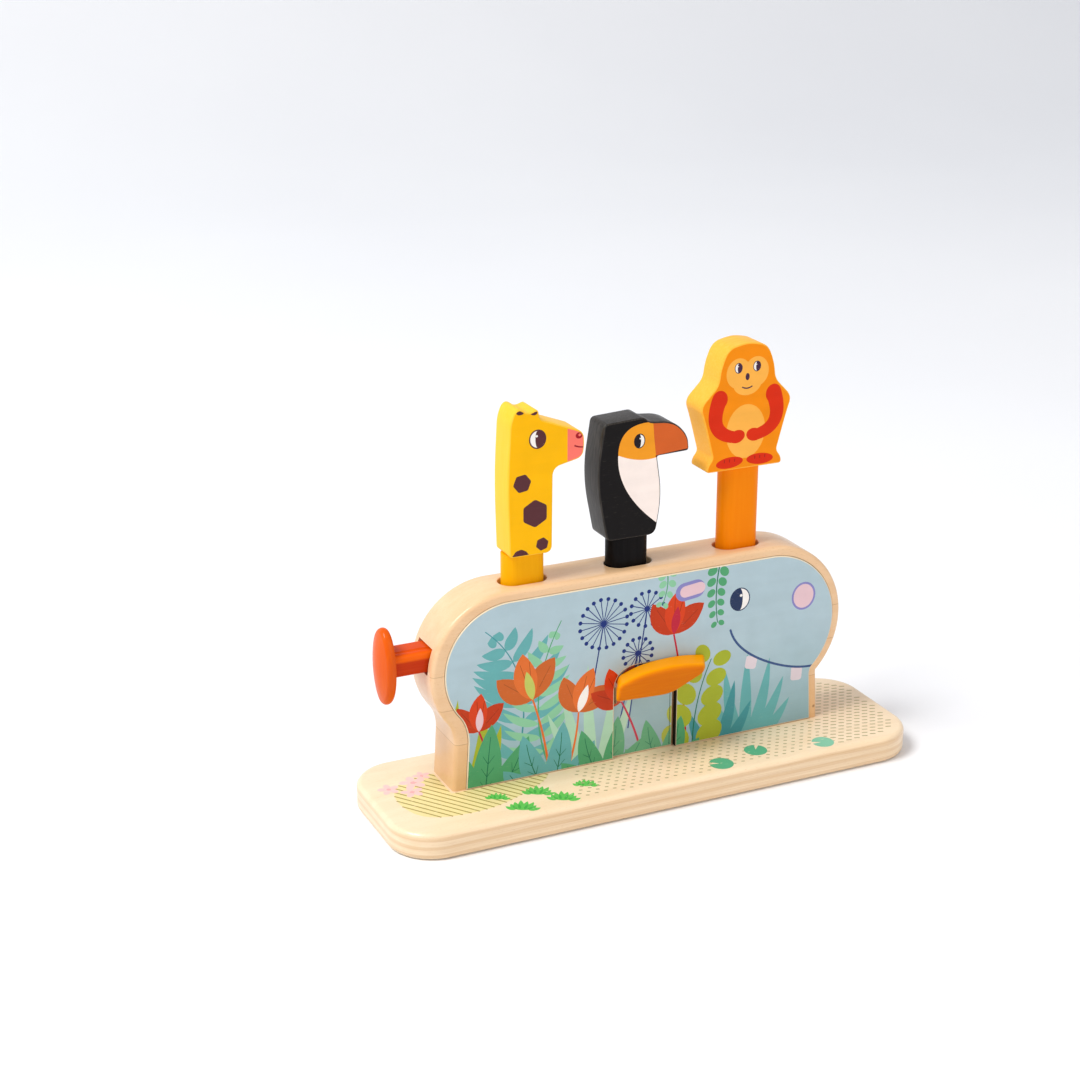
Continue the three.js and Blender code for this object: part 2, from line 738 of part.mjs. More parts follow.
const body = new THREE.Group();
body.add(piece('base_plate', geometryOf(basePlate()), wood, 0.5));
body.add(piece('hippo_block', geometryOf(hippoBlock()), wood, 0.5));
body.add(piece('front_panel', geometryOf(sidePanel(-1)), panelBlue, 0.45));
body.add(piece('back_panel', geometryOf(sidePanel(1)), panelBlue, 0.45));
body.add(piece('front_hatch', geometryOf(hatch(-1)), panelBlue, 0.45));
body.add(piece('back_hatch', geometryOf(hatch(1)), panelBlue, 0.45));
body.add(piece('spring_seat', geometryOf(springSeat()), feltGrey, 0.95));
screwPlaces.forEach((x, i) => {
  body.add(piece(`base_screw_${i + 1}`, geometryOf(screw(x)), steelGrey, 0.35, 1));
});
toy.add(body);

const button = new THREE.Group();
button.add(piece('push_button', geometryOf(pushButton()), buttonRed, 0.35));
button.add(piece('push_bar', geometryOf(pushBar()), buttonRed, 0.35));
button.add(piece('push_wedge', geometryOf(pushWedge()), darkWood, 0.6));
toy.add(button);

const rocker = new THREE.Group();
rocker.add(piece('rocker_axle', geometryOf(rockerAxle()), darkWood, 0.6));
rocker.add(piece('kicker_arm', geometryOf(kickerArm()), darkWood, 0.6));
rocker.add(piece('front_paddle', geometryOf(paddle(-1)), leverAmber, 0.35));
rocker.add(piece('back_paddle', geometryOf(paddle(1)), leverAmber, 0.35));
toy.add(rocker);

const giraffeLift = new THREE.Group();
giraffeLift.add(piece('giraffe_lifter', geometryOf(giraffeLifter()), darkWood, 0.6));
giraffeLift.add(piece('giraffe_pad', geometryOf(feltPad(giraffeX, giraffePadZ)), feltGrey, 0.95));
toy.add(giraffeLift);

const toucanLift = new THREE.Group();
toucanLift.add(piece('toucan_plunger',
  geometryOf(plunger(toucanX, toucanPlungerZ, toucanPlungerHeight)), darkWood, 0.6));
toucanLift.add(piece('toucan_pad', geometryOf(feltPad(toucanX, toucanPadZ)), feltGrey, 0.95));
toy.add(toucanLift);

const monkeyLift = new THREE.Group();
monkeyLift.add(piece('monkey_spring', monkeySpring(), steelGrey, 0.3, 1));
monkeyLift.add(piece('monkey_plunger',
  geometryOf(plunger(monkeyX, monkeyPlungerZ, monkeyPlungerHeight)), darkWood, 0.6));
monkeyLift.add(piece('monkey_pad', geometryOf(feltPad(monkeyX, monkeyPadZ)), feltGrey, 0.95));
toy.add(monkeyLift);

const giraffe = new THREE.Group();
giraffe.add(piece('giraffe_figure', geometryOf(giraffeFigure()), giraffeYellow, 0.4));
giraffe.add(piece('giraffe_peg', geometryOf(peg(giraffeX, giraffePegZ, giraffePegHeight)), giraffeYellow, 0.4));
toy.add(giraffe);

const toucan = new THREE.Group();
toucan.add(piece('toucan_figure', geometryOf(toucanFigure()), toucanBlack, 0.4));
toucan.add(piece('toucan_peg', geometryOf(peg(toucanPegX, toucanPegZ, toucanPegHeight)), toucanBlack, 0.4));
toy.add(toucan);

const monkey = new THREE.Group();
monkey.add(piece('monkey_figure', geometryOf(monkeyFigure()), monkeyOrange, 0.4));
monkey.add(piece('monkey_peg', geometryOf(peg(monkeyX, monkeyPegZ, monkeyPegHeight)), monkeyOrange, 0.4));
toy.add(monkey);

export default toy;
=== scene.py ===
# %% [markdown]
# # A wooden pop up toy
# A hippo-shaped block stands on a base plate, and three animals on pegs jump out of it. A button at the
# tail lifts the giraffe, a lever on each side kicks the toucan, and the monkey sits on a spring.
# The fixed frame holds the plain solids of every piece. This lesson keeps them for what moves and
# collides, and dresses what the eye sees with finer surfaces, prints and finishes in the same places.

# %% Open the frame
import math

import bmesh
import bpy
import numpy as np
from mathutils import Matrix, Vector
from mathutils.geometry import delaunay_2d_cdt


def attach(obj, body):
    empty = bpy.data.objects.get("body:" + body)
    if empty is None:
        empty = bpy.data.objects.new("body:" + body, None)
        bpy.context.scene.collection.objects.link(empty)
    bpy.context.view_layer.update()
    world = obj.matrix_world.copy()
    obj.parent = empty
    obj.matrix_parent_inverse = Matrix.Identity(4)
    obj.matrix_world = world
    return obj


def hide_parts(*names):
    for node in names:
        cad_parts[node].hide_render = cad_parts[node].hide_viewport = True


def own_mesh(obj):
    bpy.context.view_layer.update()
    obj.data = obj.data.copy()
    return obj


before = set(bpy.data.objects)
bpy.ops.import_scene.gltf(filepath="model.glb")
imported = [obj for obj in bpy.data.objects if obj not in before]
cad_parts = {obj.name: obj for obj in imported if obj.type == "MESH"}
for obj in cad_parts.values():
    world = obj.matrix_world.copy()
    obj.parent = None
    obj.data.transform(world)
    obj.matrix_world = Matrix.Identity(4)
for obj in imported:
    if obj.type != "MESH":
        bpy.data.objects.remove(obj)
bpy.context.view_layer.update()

# %% [markdown]
# ## Measures
# A maker works from a list of measures. These are the ones that the outlines need, in millimetres and
# in the toy's own frame: x runs from tail to nose, y from front to back, z up from the table. They are
# the solids' own, so that every finer surface lies where its solid is. Only the nose and the chin are a
# little fuller.

# %% The toy's measures
mm = 0.001
base = dict(length=300, width=88, thick=14.6, corner=24, edge=3)
hippo = dict(x=-0.6, y=9.3, length=236.8, top=119, flare=1.5 / 26, thick=28, edge=2.4)
tail_end = dict(end=41, turn=math.radians(38), neck=106.2, neck_z=40.6)
chin_end = dict(end=44.7, turn=math.radians(45), neck=105.3, neck_z=41.5)
nose_rim = 2
core_half, panel_thick, panel_inset, panel_shift = 11.2, 3.4, 5.2, 2
panel_face = core_half + panel_thick
window = dict(low=-17.5, high=19.5, top=66.6, tail_corner=14, nose_corner=4)
hatch_thick, hatch_pocket, seat_gap, wide_gap = 3.2, 2, 0.3, 1.2
axle_x, axle_z, axle_hole = 16, 60.6, 3.3
peg = dict(length=22.6, depth=13, edge=2.5)
bore = dict(length=26, depth=14.6, mouth=0.7)
bore_x = dict(giraffe=-63.2, toucan=-3.2, monkey=60.8)
bore_floor = dict(giraffe=24, toucan=57, monkey=20)
figure_thick, figure_edge = 17, 0.8
panel_edge, hatch_edge = 0.45, 0.35
film_thick, base_film_thick = 0.06, 0.04
screw_x = (-96, -30, 30, 96)
sides = ((-1, "front"), (1, "back"))
print("hippo from", hippo["x"] - hippo["length"] / 2, "to", hippo["x"] + hippo["length"] / 2, "mm")

# %% [markdown]
# ## Outlines
# Every wooden piece here is sawn from a board or turned from a rod, so each starts as a flat outline.
# An outline could be a Bezier curve object, but arrays of points can be drawn in, mirrored and cut
# without any object, so numpy holds them.

# %% Outlines as arrays of points
def tidy(outline):
    """Drops points that lie on the one before them, and turns the outline anticlockwise: its area
    sum(x0 z1 - x1 z0) / 2 is then above zero."""
    outline = outline[np.linalg.norm(outline - np.roll(outline, 1, 0), axis=1) > 1e-3]
    nxt = np.roll(outline, -1, 0)
    area = np.sum(outline[:, 0] * nxt[:, 1] - nxt[:, 0] * outline[:, 1])
    return outline if area > 0 else outline[::-1]

def bend(a, corner, b, steps=12):
    """A curve from a to b that leans to the corner: (1-t)^2 a + 2t(1-t) corner + t^2 b."""
    t = np.linspace(0, 1, steps)[:, None]
    return (1 - t) ** 2 * np.array(a) + 2 * t * (1 - t) * np.array(corner) + t ** 2 * np.array(b)

def rounded(corners, steps=12):
    """Outline through [x, z, reach] corners: each is a bend that starts and ends one reach from the
    corner, or 0.48 of the way to the next corner where that is near."""
    c = np.array(corners, float)
    point, reach = c[:, :2], c[:, 2:]
    def towards(other):
        gap = np.linalg.norm(other - point, axis=1, keepdims=True)
        return point + (other - point) * np.minimum(reach / gap, 0.48)
    a, b = towards(np.roll(point, 1, 0)), towards(np.roll(point, -1, 0))
    t = np.linspace(0, 1, steps)[None, :, None]
    curve = (1 - t) ** 2 * a[:, None] + 2 * t * (1 - t) * point[:, None] + t ** 2 * b[:, None]
    return tidy(curve.reshape(-1, 2))

def arc(x, z, radius, start, end, steps):
    """x + radius cos(turn), z + radius sin(turn), with the turn from start to end."""
    turn = np.linspace(start, end, steps)
    return np.stack([x + radius * np.cos(turn), z + radius * np.sin(turn)], 1)

def turned_by(points, turn):
    """Each point as [x cos(turn) - z sin(turn), x sin(turn) + z cos(turn)]."""
    c, s = math.cos(turn), math.sin(turn)
    return np.asarray(points) @ np.array([[c, s], [-s, c]])

def drawn_in(outline, inset):
    """Each point moves inwards along the mean of its two edges' normals, by inset / cos(half the bend)."""
    ahead = np.roll(outline, -1, 0) - outline
    ahead = ahead / np.linalg.norm(ahead, axis=1, keepdims=True)
    both = ahead + np.roll(ahead, 1, 0)
    inward = np.stack([-both[:, 1], both[:, 0]], 1)
    length = np.linalg.norm(both, axis=1, keepdims=True)
    return outline + inward / length * inset * 2 / length

print("a corner bend has", len(bend((0, 0), (1, 0), (1, 1))), "points")

# %% [markdown]
# ## From outline to board
# A board is its outline carried through the wood's thickness, with both rims rounded by a router bit.
# Bevelled cubes would give the same edge only on straight pieces. Here a quarter turn of the bit is
# carried round the whole outline as a grid of points, one row for each level, and the flat faces close it.

# %% Grids closed to pieces
def shade(mesh, smooth):
    mesh.shade_smooth()
    mesh.set_sharp_from_angle(angle=math.radians(smooth))

def linked(name, mesh):
    """An object at the origin that shows the mesh."""
    thing = bpy.data.objects.new(name, mesh)
    bpy.context.collection.objects.link(thing)
    return thing

def turned_outwards(mesh, merge):
    """Turns all faces outwards, after points that meet are merged where merge is true."""
    work = bmesh.new()
    work.from_mesh(mesh)
    if merge:
        bmesh.ops.remove_doubles(work, verts=work.verts, dist=2e-6)
    bmesh.ops.recalc_face_normals(work, faces=work.faces)
    work.to_mesh(mesh)
    work.free()

def shell(name, grid, smooth=40):
    """Piece from a grid of points [row, column] in millimetres. Columns go round, flat faces close the
    first and last rows, and points that meet at a pole are merged."""
    rows, columns = grid.shape[:2]
    index = np.arange(rows * columns).reshape(rows, columns)
    a, d = index[:-1], index[1:]
    quads = np.stack([a, np.roll(a, -1, 1), np.roll(d, -1, 1), d], -1).reshape(-1, 4)
    mesh = bpy.data.meshes.new(name)
    ends = [index[0][::-1].tolist(), index[-1].tolist()]
    mesh.from_pydata((grid.reshape(-1, 3) * mm).tolist(), [], quads.tolist() + ends)
    turned_outwards(mesh, merge=True)
    shade(mesh, smooth)
    return linked(name, mesh)

# %% Boards and boxes
def quarter_rows(edge, steps):
    """A quarter turn of a rounded rim, as insets edge (1 - sin a) and rises edge (1 - cos a)."""
    turn = np.linspace(0, math.pi / 2, steps)
    return edge * (1 - np.sin(turn)), edge * (1 - np.cos(turn))

def rim_rows(low, high, low_edge, high_edge, steps):
    """Rows of [inset, level] from low to high, with a quarter turn at each end."""
    inset, rise = quarter_rows(low_edge, steps)
    far_inset, far_rise = quarter_rows(high_edge, steps)
    return np.concatenate([np.stack([inset, low + rise], 1), np.stack([far_inset, high - far_rise], 1)[::-1]])

def board(name, outline, low, high, edge, stands=False, smooth=40):
    """An outline in x and z carried along y from low to high, or one in x and y carried up along z where
    the piece stands."""
    rows = rim_rows(low, high, edge, edge, 7)
    flat = np.stack([drawn_in(outline, inset) for inset, _ in rows])
    level = np.broadcast_to(rows[:, 1][:, None], flat.shape[:2])
    across, up = (flat[..., 1], level) if stands else (level, flat[..., 1])
    return shell(name, np.stack([flat[..., 0], across, up], -1), smooth)

def prism(name, outline, low, high):
    """An outline in x and z carried along y, with sharp rims."""
    return shell(name, np.stack([np.insert(outline, 1, y, axis=1) for y in (low, high)]))

def box(name, low_x, high_x, low_y, high_y, low_z, high_z):
    flat = np.array([[low_x, low_z], [high_x, low_z], [high_x, high_z], [low_x, high_z]], float)
    return prism(name, flat, low_y, high_y)

print("a board's rim has", len(rim_rows(0, 10, 1, 1, 7)), "rows")

# %% [markdown]
# ## Cutting
# Bores, slots and rooms are cut as a workshop cuts them: a tool of the right shape goes into the wood.
# The Boolean modifier does that, and its result is kept as the piece's own mesh so that nothing stays live.

# %% Cut tools out of a piece
def cut(thing, *tools, smooth=40):
    """Takes each tool's volume out of the piece, bakes the result and removes the tool."""
    for tool in tools:
        step = thing.modifiers.new("cut", "BOOLEAN")
        step.operation, step.solver, step.object = "DIFFERENCE", "EXACT", tool
        graph = bpy.context.evaluated_depsgraph_get()
        mesh = bpy.data.meshes.new_from_object(thing.evaluated_get(graph))
        thing.modifiers.clear()
        old, thing.data = thing.data, mesh
        bpy.data.meshes.remove(old)
        bpy.data.objects.remove(tool)
    thing.data.name = thing.name
    shade(thing.data, smooth)
    return thing

# %% [markdown]
# ## Colour and node helpers
# Colours are noted as they look in daylight, 0 to 255, and Blender wants light itself, so they are
# turned from one to the other. Materials are built from nodes by small helpers: one makes a node and
# feeds its sockets, a few name the sums and patterns used most, and one feeds the shader.

# %% Nodes and colours
def daylight(red, green, blue):
    """c / 12.92 below 0.04045, and ((c + 0.055) / 1.055)^2.4 above it."""
    c = np.array([red, green, blue]) / 255
    light = np.where(c <= 0.04045, c / 12.92, ((c + 0.055) / 1.055) ** 2.4)
    return (*light.tolist(), 1.0)

def light_of(colour):
    """Three numbers are a daylight colour. Light, or a node's output, stays as it is."""
    return daylight(*colour) if isinstance(colour, tuple) and len(colour) == 3 else colour

def feed(tree, socket, value):
    """Links a node's output to the socket, or sets the socket to a plain value."""
    if isinstance(value, bpy.types.NodeSocket):
        tree.links.new(value, socket)
    else:
        socket.default_value = value

def node(tree, kind, sockets=(), **settings):
    """A node of a kind, with its settings and then its sockets: pairs of (socket, value or output)."""
    made = tree.nodes.new(kind)
    for name, value in settings.items():
        setattr(made, name, value)
    for socket, value in sockets:
        feed(tree, made.inputs[socket], value)
    return made

def mix(tree, share, a, b, blend="MIX"):
    """Colour a towards colour b by the share."""
    sockets = [(0, share), (6, light_of(a)), (7, light_of(b))]
    return node(tree, "ShaderNodeMix", sockets, data_type="RGBA", blend_type=blend).outputs[2]

def ramp(tree, factor, low, high):
    """0 below low, 1 above high and straight in between."""
    sockets = [("Value", factor), ("From Min", low), ("From Max", high)]
    return node(tree, "ShaderNodeMapRange", sockets).outputs[0]

def math_of(tree, operation, a, b=0.0):
    return node(tree, "ShaderNodeMath", [(0, a), (1, b)], operation=operation).outputs[0]

def times(tree, a, b):
    return math_of(tree, "MULTIPLY", a, b)

def away_from(tree, value, level):
    return math_of(tree, "ABSOLUTE", math_of(tree, "SUBTRACT", value, level))

print("warm wood in light:", [round(v, 2) for v in daylight(236, 205, 160)])

# %% Patterns, materials and groups
def placed(tree, scale=(1, 1, 1), turn=(0, 0, 0), vector=None):
    """Object coordinates in metres, or another vector, scaled and turned for a pattern."""
    if vector is None:
        vector = node(tree, "ShaderNodeTexCoord").outputs["Object"]
    sockets = [("Vector", vector), ("Scale", scale), ("Rotation", turn)]
    return node(tree, "ShaderNodeMapping", sockets).outputs[0]

def axis_of(tree, axis, vector=None):
    """One coordinate of the place on the piece, in metres, or of another vector."""
    vector = placed(tree) if vector is None else vector
    return node(tree, "ShaderNodeSeparateXYZ", [("Vector", vector)]).outputs[axis]

def noise(tree, scale, detail=2.0, vector=None):
    """A noise from 0 to 1, with as many waves to the metre along each axis as scale says."""
    sockets = [("Vector", placed(tree, scale, vector=vector)), ("Scale", 1.0), ("Detail", detail)]
    return node(tree, "ShaderNodeTexNoise", sockets).outputs["Fac"]

def material(name, **shader):
    """A material whose Principled shader has these plain values on its own sockets."""
    made = bpy.data.materials.new(name)
    made.use_nodes = True
    surface = made.node_tree.nodes["Principled BSDF"]
    for socket, value in shader.items():
        surface.inputs[socket.replace("_", " ")].default_value = value
    return made, made.node_tree, surface

def coat_with(tree, surface, colour, roughness, height, strength, depth=0.0002):
    """Feeds the shader its colour and roughness, and a relief whose whole depth is in metres. Where the
    height is None the surface stays smooth."""
    feed(tree, surface.inputs["Base Color"], colour)
    feed(tree, surface.inputs["Roughness"], roughness)
    if height is not None:
        sockets = [("Height", height), ("Strength", strength), ("Distance", depth)]
        feed(tree, surface.inputs["Normal"], node(tree, "ShaderNodeBump", sockets).outputs[0])

def group(name, inputs):
    """An empty node group: (name, kind, value) in, and a colour, a height and a roughness out."""
    made = bpy.data.node_groups.new(name, "ShaderNodeTree")
    for label, kind, value in inputs:
        socket = made.interface.new_socket(label, in_out="INPUT", socket_type="NodeSocket" + kind)
        if value is not None:
            socket.default_value = value
    for label, kind in (("Color", "Color"), ("Height", "Float"), ("Roughness", "Float")):
        made.interface.new_socket(label, in_out="OUTPUT", socket_type="NodeSocket" + kind)
    return made, made.nodes.new("NodeGroupInput").outputs

def put_out(tree, colour, height, roughness):
    """Ends a group with its three outputs."""
    result = tree.nodes.new("NodeGroupOutput").inputs
    for label, value in (("Color", colour), ("Height", height), ("Roughness", roughness)):
        feed(tree, result[label], value)

def dress(thing, look, body, slot, *stands_for):
    """Gives a piece its finish and body, and hides the plain solids it stands for. The slot is not used."""
    thing.data.materials.clear()
    thing.data.materials.append(look)
    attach(thing, body)
    if stands_for:
        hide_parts(*stands_for)
    return thing

print("materials that came with the frame:", len(bpy.data.materials))

# %% [markdown]
# ## Wood grain
# The block and base are pale wood under clear lacquer. Its figure is long streaks along the board, finer
# fibres inside them, and short dark flecks. A picture of wood would repeat and stretch. So two noises and
# a pattern of cells are pulled long along the grain, a slow noise makes all three wander, and one node
# group mixes them for every bare wood.

# %% The grain group
grain, source = group("wood_grain", [
    ("Vector", "Vector", None), ("Pale", "Color", daylight(240, 214, 172)),
    ("Deep", "Color", daylight(214, 174, 122)), ("Fleck", "Color", daylight(176, 128, 82)),
    ("Streak Strength", "Float", 0.6), ("Fleck Strength", "Float", 0.35)])
wander = node(grain, "ShaderNodeTexNoise", [("Vector", source["Vector"]), ("Scale", 7.0), ("Detail", 2.0)])
lifted = mix(grain, 0.035, source["Vector"], wander.outputs["Color"])
streaks = noise(grain, (9, 150, 150), 3.0, lifted)
fibres = noise(grain, (60, 1500, 1500), 2.0, lifted)
cells = [("Vector", placed(grain, (260, 1500, 1500), vector=lifted)), ("Scale", 1.0)]
flecks = node(grain, "ShaderNodeTexVoronoi", cells).outputs["Distance"]
streak_mask = times(grain, ramp(grain, streaks, 0.34, 0.68), source["Streak Strength"])
fleck_mask = times(grain, ramp(grain, flecks, 0.24, 0.1), source["Fleck Strength"])
toned = mix(grain, streak_mask, source["Pale"], source["Deep"])
toned = mix(grain, times(grain, ramp(grain, fibres, 0.45, 0.75), 0.22), toned, source["Deep"])
put_out(grain, mix(grain, fleck_mask, toned, source["Fleck"]),
        math_of(grain, "ADD", fibres, times(grain, streaks, 0.5)), ramp(grain, fibres, -1.2, 2.6))

def grained(tree, pale, deep, fleck, streak, flecked):
    """The grain group placed in a material with that wood's own colours."""
    sockets = [("Vector", placed(tree)), ("Pale", daylight(*pale)), ("Deep", daylight(*deep)),
               ("Fleck", daylight(*fleck)), ("Streak Strength", streak), ("Fleck Strength", flecked)]
    return node(tree, "ShaderNodeGroup", sockets, node_tree=grain).outputs

print("grain group nodes:", len(grain.nodes))

# %% [markdown]
# ## Block wood
# The hippo is glued up from four strips, so three thin glue lines run along it, each strip has its own
# tone, with a painted shade that darkens the strips towards the foot, and a few pin knots are left. Strip
# and line are read from the height on the piece, which keeps them true on the flat rim, round the ends
# and inside the bores.

# %% Finish of the hippo block
glue_levels, glue_half = (40.3, 60.4, 79.7), 0.22
block_wood, tree, surface = material("block_wood", Coat_Weight=0.6, Coat_Roughness=0.2,
                                     Specular_IOR_Level=0.3)
figure = grained(tree, (241, 209, 170), (222, 180, 135), (172, 122, 78), 0.5, 0.3)
height = axis_of(tree, "Z")
strip_number = 0.0
for level in glue_levels:
    above = math_of(tree, "GREATER_THAN", height, level * mm)
    strip_number = math_of(tree, "ADD", above, strip_number)
strip = node(tree, "ShaderNodeTexWhiteNoise", [("W", math_of(tree, "ADD", strip_number, 3.0))],
             noise_dimensions="1D").outputs["Value"]
# Painted shade: the strips are painted darker step by step towards the foot, over each strip's own random
# tone.
strip_painted_shade = math_of(tree, "SUBTRACT", 0.5, times(tree, strip_number, 0.12))
tone = mix(tree, math_of(tree, "ADD", times(tree, strip, 0.22), strip_painted_shade), figure["Color"], (226, 178, 122))
for level in glue_levels:
    on_line = ramp(tree, away_from(tree, height, level * mm), glue_half * mm, glue_half * mm * 0.5)
    tone = mix(tree, times(tree, on_line, 0.45), tone, (150, 104, 62))
knots = node(tree, "ShaderNodeTexVoronoi", [("Vector", placed(tree)), ("Scale", 38.0)]).outputs["Distance"]
tone = mix(tree, times(tree, ramp(tree, knots, 0.045, 0.02), 0.75), tone, (140, 92, 50))
coat_with(tree, surface, tone, figure["Roughness"], figure["Height"], 0.12)
print("block wood has", len(tree.nodes), "nodes")

# %% [markdown]
# ## Base plate
# The base is a plywood board with its corners rounded wide and its rims rounded small. From the side its
# layers show as soft bands that follow the edge round the corners. The bands come from the height
# again, and only where the surface stands upright, so the top keeps its plain veneer.

# %% Finish of the base
ply_waves = 68.0
base_wood, tree, surface = material("base_wood", Coat_Weight=0.6, Coat_Roughness=0.16,
                                    Specular_IOR_Level=0.3)
figure = grained(tree, (241, 218, 184), (231, 202, 162), (202, 158, 110), 0.5, 0.25)
sway = times(tree, math_of(tree, "SUBTRACT", noise(tree, (14, 14, 60)), 0.5), 0.0012)
level = math_of(tree, "ADD", axis_of(tree, "Z"), sway)
tall = node(tree, "ShaderNodeCombineXYZ", [("Z", times(tree, level, ply_waves))]).outputs[0]
plies = node(tree, "ShaderNodeTexWave", [("Scale", 1.0), ("Distortion", 0.0), ("Vector", tall)],
             wave_type="BANDS", bands_direction="Z").outputs["Fac"]
facing = node(tree, "ShaderNodeNewGeometry").outputs["Normal"]
on_edge = ramp(tree, math_of(tree, "ABSOLUTE", axis_of(tree, "Z", facing)), 0.75, 0.35)
band = times(tree, ramp(tree, plies, 0.25, 0.85), on_edge)
tone = mix(tree, times(tree, band, 0.4), figure["Color"], (212, 170, 116))
fine = times(tree, ramp(tree, noise(tree, (30, 30, 2600)), 0.45, 0.7), on_edge)
tone = mix(tree, times(tree, fine, 0.3), tone, (196, 148, 98))
coat_with(tree, surface, tone, figure["Roughness"], figure["Height"], 0.1)
print("base wood has", len(tree.nodes), "nodes")

# %% [markdown]
# The plate itself is a board that lies flat: four quarter circles joined by straight sides, with four
# countersunk holes from below for the screws that hold the block.

# %% The base plate
def rounded_rectangle(length, width, radius):
    """Four quarter circles of the radius, each round its own corner centre."""
    cx, cy = length / 2 - radius, width / 2 - radius
    turns = [(cx, -cy, -0.5), (cx, cy, 0), (-cx, cy, 0.5), (-cx, -cy, 1)]
    return tidy(np.concatenate([
        arc(x, y, radius, t * math.pi, (t + 0.5) * math.pi, 28) for x, y, t in turns]))

def turned(name, profile, x):
    """A profile of [radius, height] turned about an upright axis at x, in the block's middle."""
    turn = np.linspace(0, 2 * math.pi, 48, endpoint=False)[None, :]
    radius, height = np.array(profile, float).T[:, :, None]
    y = hippo["y"] + radius * np.sin(turn)
    return shell(name, np.stack([x + radius * np.cos(turn), y, height + 0 * turn], -1))

def screw_hole(x):
    return turned("tool", [[4.5, -6], [4.5, 0.8], [2.3, 4.1], [2.3, 20], [0.02, 21.3]], x)

plate = board("plywood_base", rounded_rectangle(base["length"], base["width"], base["corner"]),
              0, base["thick"], base["edge"], stands=True)
cut(plate, *[screw_hole(x) for x in screw_x])
dress(plate, base_wood, "toy", "base_wood", "base_plate")
print("base plate", len(plate.data.polygons), "faces")

# %% [markdown]
# ## Hippo block
# The block's outline is the hippo seen from the side: straight feet, a waist, and a round end at tail
# and nose under a flat back. The nose is fuller than the tail, and its chin hangs lower. It is one board
# with its rims rounded. The pockets for the panels, the three bores, the tail slot and the rooms for the
# works are then cut with tools of their own size.

# %% The hippo's outline
def half_outline(inset, bottom, end, turn, neck, neck_z, out=0):
    """Foot at the bottom, a slight flare from the neck to it, a bend from the neck into the round end,
    and the end's arc from the turn below level to straight up, all moved outwards by out."""
    end_x, radius, centre_z = hippo["length"] / 2 - end, end - inset, hippo["top"] - end
    waist = neck - inset
    foot = waist + hippo["flare"] * (neck_z - bottom)
    start = np.array([end_x + radius * math.cos(turn), centre_z - radius * math.sin(turn)])
    lean_z = start[1] - (start[0] - waist) / math.tan(turn)
    return np.concatenate([[[foot, bottom]], bend((waist, neck_z), (waist, lean_z), start, 20),
                           arc(end_x, centre_z, radius, -turn, math.pi / 2, 56)]) + [out, 0]

def hippo_outline(inset, x, bottom, nose_out=0):
    """The nose's half and the tail's half, turned round."""
    right = half_outline(inset, bottom, **chin_end, out=nose_out)
    left = half_outline(inset, bottom, **tail_end)[::-1] * [-1, 1]
    return tidy(np.concatenate([right, left])) + [x, 0]

buried = 6
side_view = hippo_outline(0, hippo["x"], base["thick"] - buried, nose_rim)
print("outline of", len(side_view), "points")

# %% Tools for the block
def stadium(x, y, length, depth, steps=28):
    """Two half circles joined by straight sides."""
    reach, end = (length - depth) / 2, depth / 2
    return tidy(np.concatenate([arc(x + reach, y, end, -math.pi / 2, math.pi / 2, steps),
                                arc(x - reach, y, end, math.pi / 2, 1.5 * math.pi, steps)]))

def post(name, outline, rows):
    """An outline in x and y carried up through rows of [inset, height]."""
    flat = np.stack([drawn_in(outline, inset) for inset, _ in rows])
    level = np.broadcast_to(np.array([z for _, z in rows], float)[:, None], flat.shape[:2])
    return shell(name, np.concatenate([flat, level[..., None]], -1))

def bore_tool(animal):
    """A stadium post whose top flares out in a quarter turn, which leaves a softened mouth."""
    mouth = bore["mouth"]
    turn = np.linspace(0, math.pi / 2, 6)
    flare = [[-mouth * (1 - math.cos(a)), hippo["top"] - mouth + mouth * math.sin(a)] for a in turn]
    outline = stadium(bore_x[animal], hippo["y"], bore["length"], bore["depth"])
    return post("tool", outline, [[0, bore_floor[animal]], *flare, [-mouth, 130]])

def side_slab(outline, near, far, side, name="tool", edge=0.0):
    """A board on one side of the block, between two distances from its middle."""
    low, high = sorted((hippo["y"] + side * near, hippo["y"] + side * far))
    return board(name, outline, low, high, edge) if edge else prism(name, outline, low, high)

def window_outline(inset, right_inset, bottom):
    """The lever window: square at the bottom, wide-rounded to the tail, small-rounded to the nose."""
    low, high, top = window["low"] + inset, window["high"] - right_inset, window["top"] - inset
    return rounded([[low, bottom, 0], [high, bottom, 0], [high, top, window["nose_corner"]],
                    [low, top, window["tail_corner"]]])

def axle_bore(near, far, side):
    return side_slab(arc(axle_x, axle_z, axle_hole, 0, 2 * math.pi, 41)[:-1], near, far, side)

print("window outline of", len(window_outline(0, 0, 0)), "points")

# %% The block, cut
rooms = dict(leg=(-104.8, -75.2, 1, 17.6, 24, 93), wedge=(-104, -67.9, 1, 17.6, 24, 60),
             wedge_foot=(-104, -47.6, 1, 17.6, 24, 40), tail_slot=(-125, -104, 0.5, 18.1, 79, 93),
             kicker_arm=(-11.8, 22.8, 3, 15.6, 46.2, 60.8), kicker_hub=(8.8, 22.8, 3, 15.6, 46.2, 67.4))
side_slots = dict(nose_gap=(18.1, 19.7, 14, 64), notch=(-17.3, -14.9, 45.8, 54.8))
slot_starts, slot_depth = (-2.5, 11.6), 9.5
beyond, tool_foot = 20, 8
block = board("hippo_wood", side_view, hippo["y"] - hippo["thick"] / 2, hippo["y"] + hippo["thick"] / 2,
              hippo["edge"], smooth=35)
tools = [box("tool", -200, 200, -60, 60, -60, base["thick"])]
for side, _ in sides:
    pocket = hippo_outline(panel_inset - seat_gap, hippo["x"] + panel_shift, tool_foot)
    tools += [side_slab(pocket, core_half, beyond, side),
              side_slab(window_outline(0, 0, tool_foot), core_half - hatch_pocket, beyond, side)]
tools += [bore_tool(animal) for animal in bore_x]
tools += [box("tool", *room) for room in rooms.values()] + [axle_bore(beyond, -beyond, 1)]
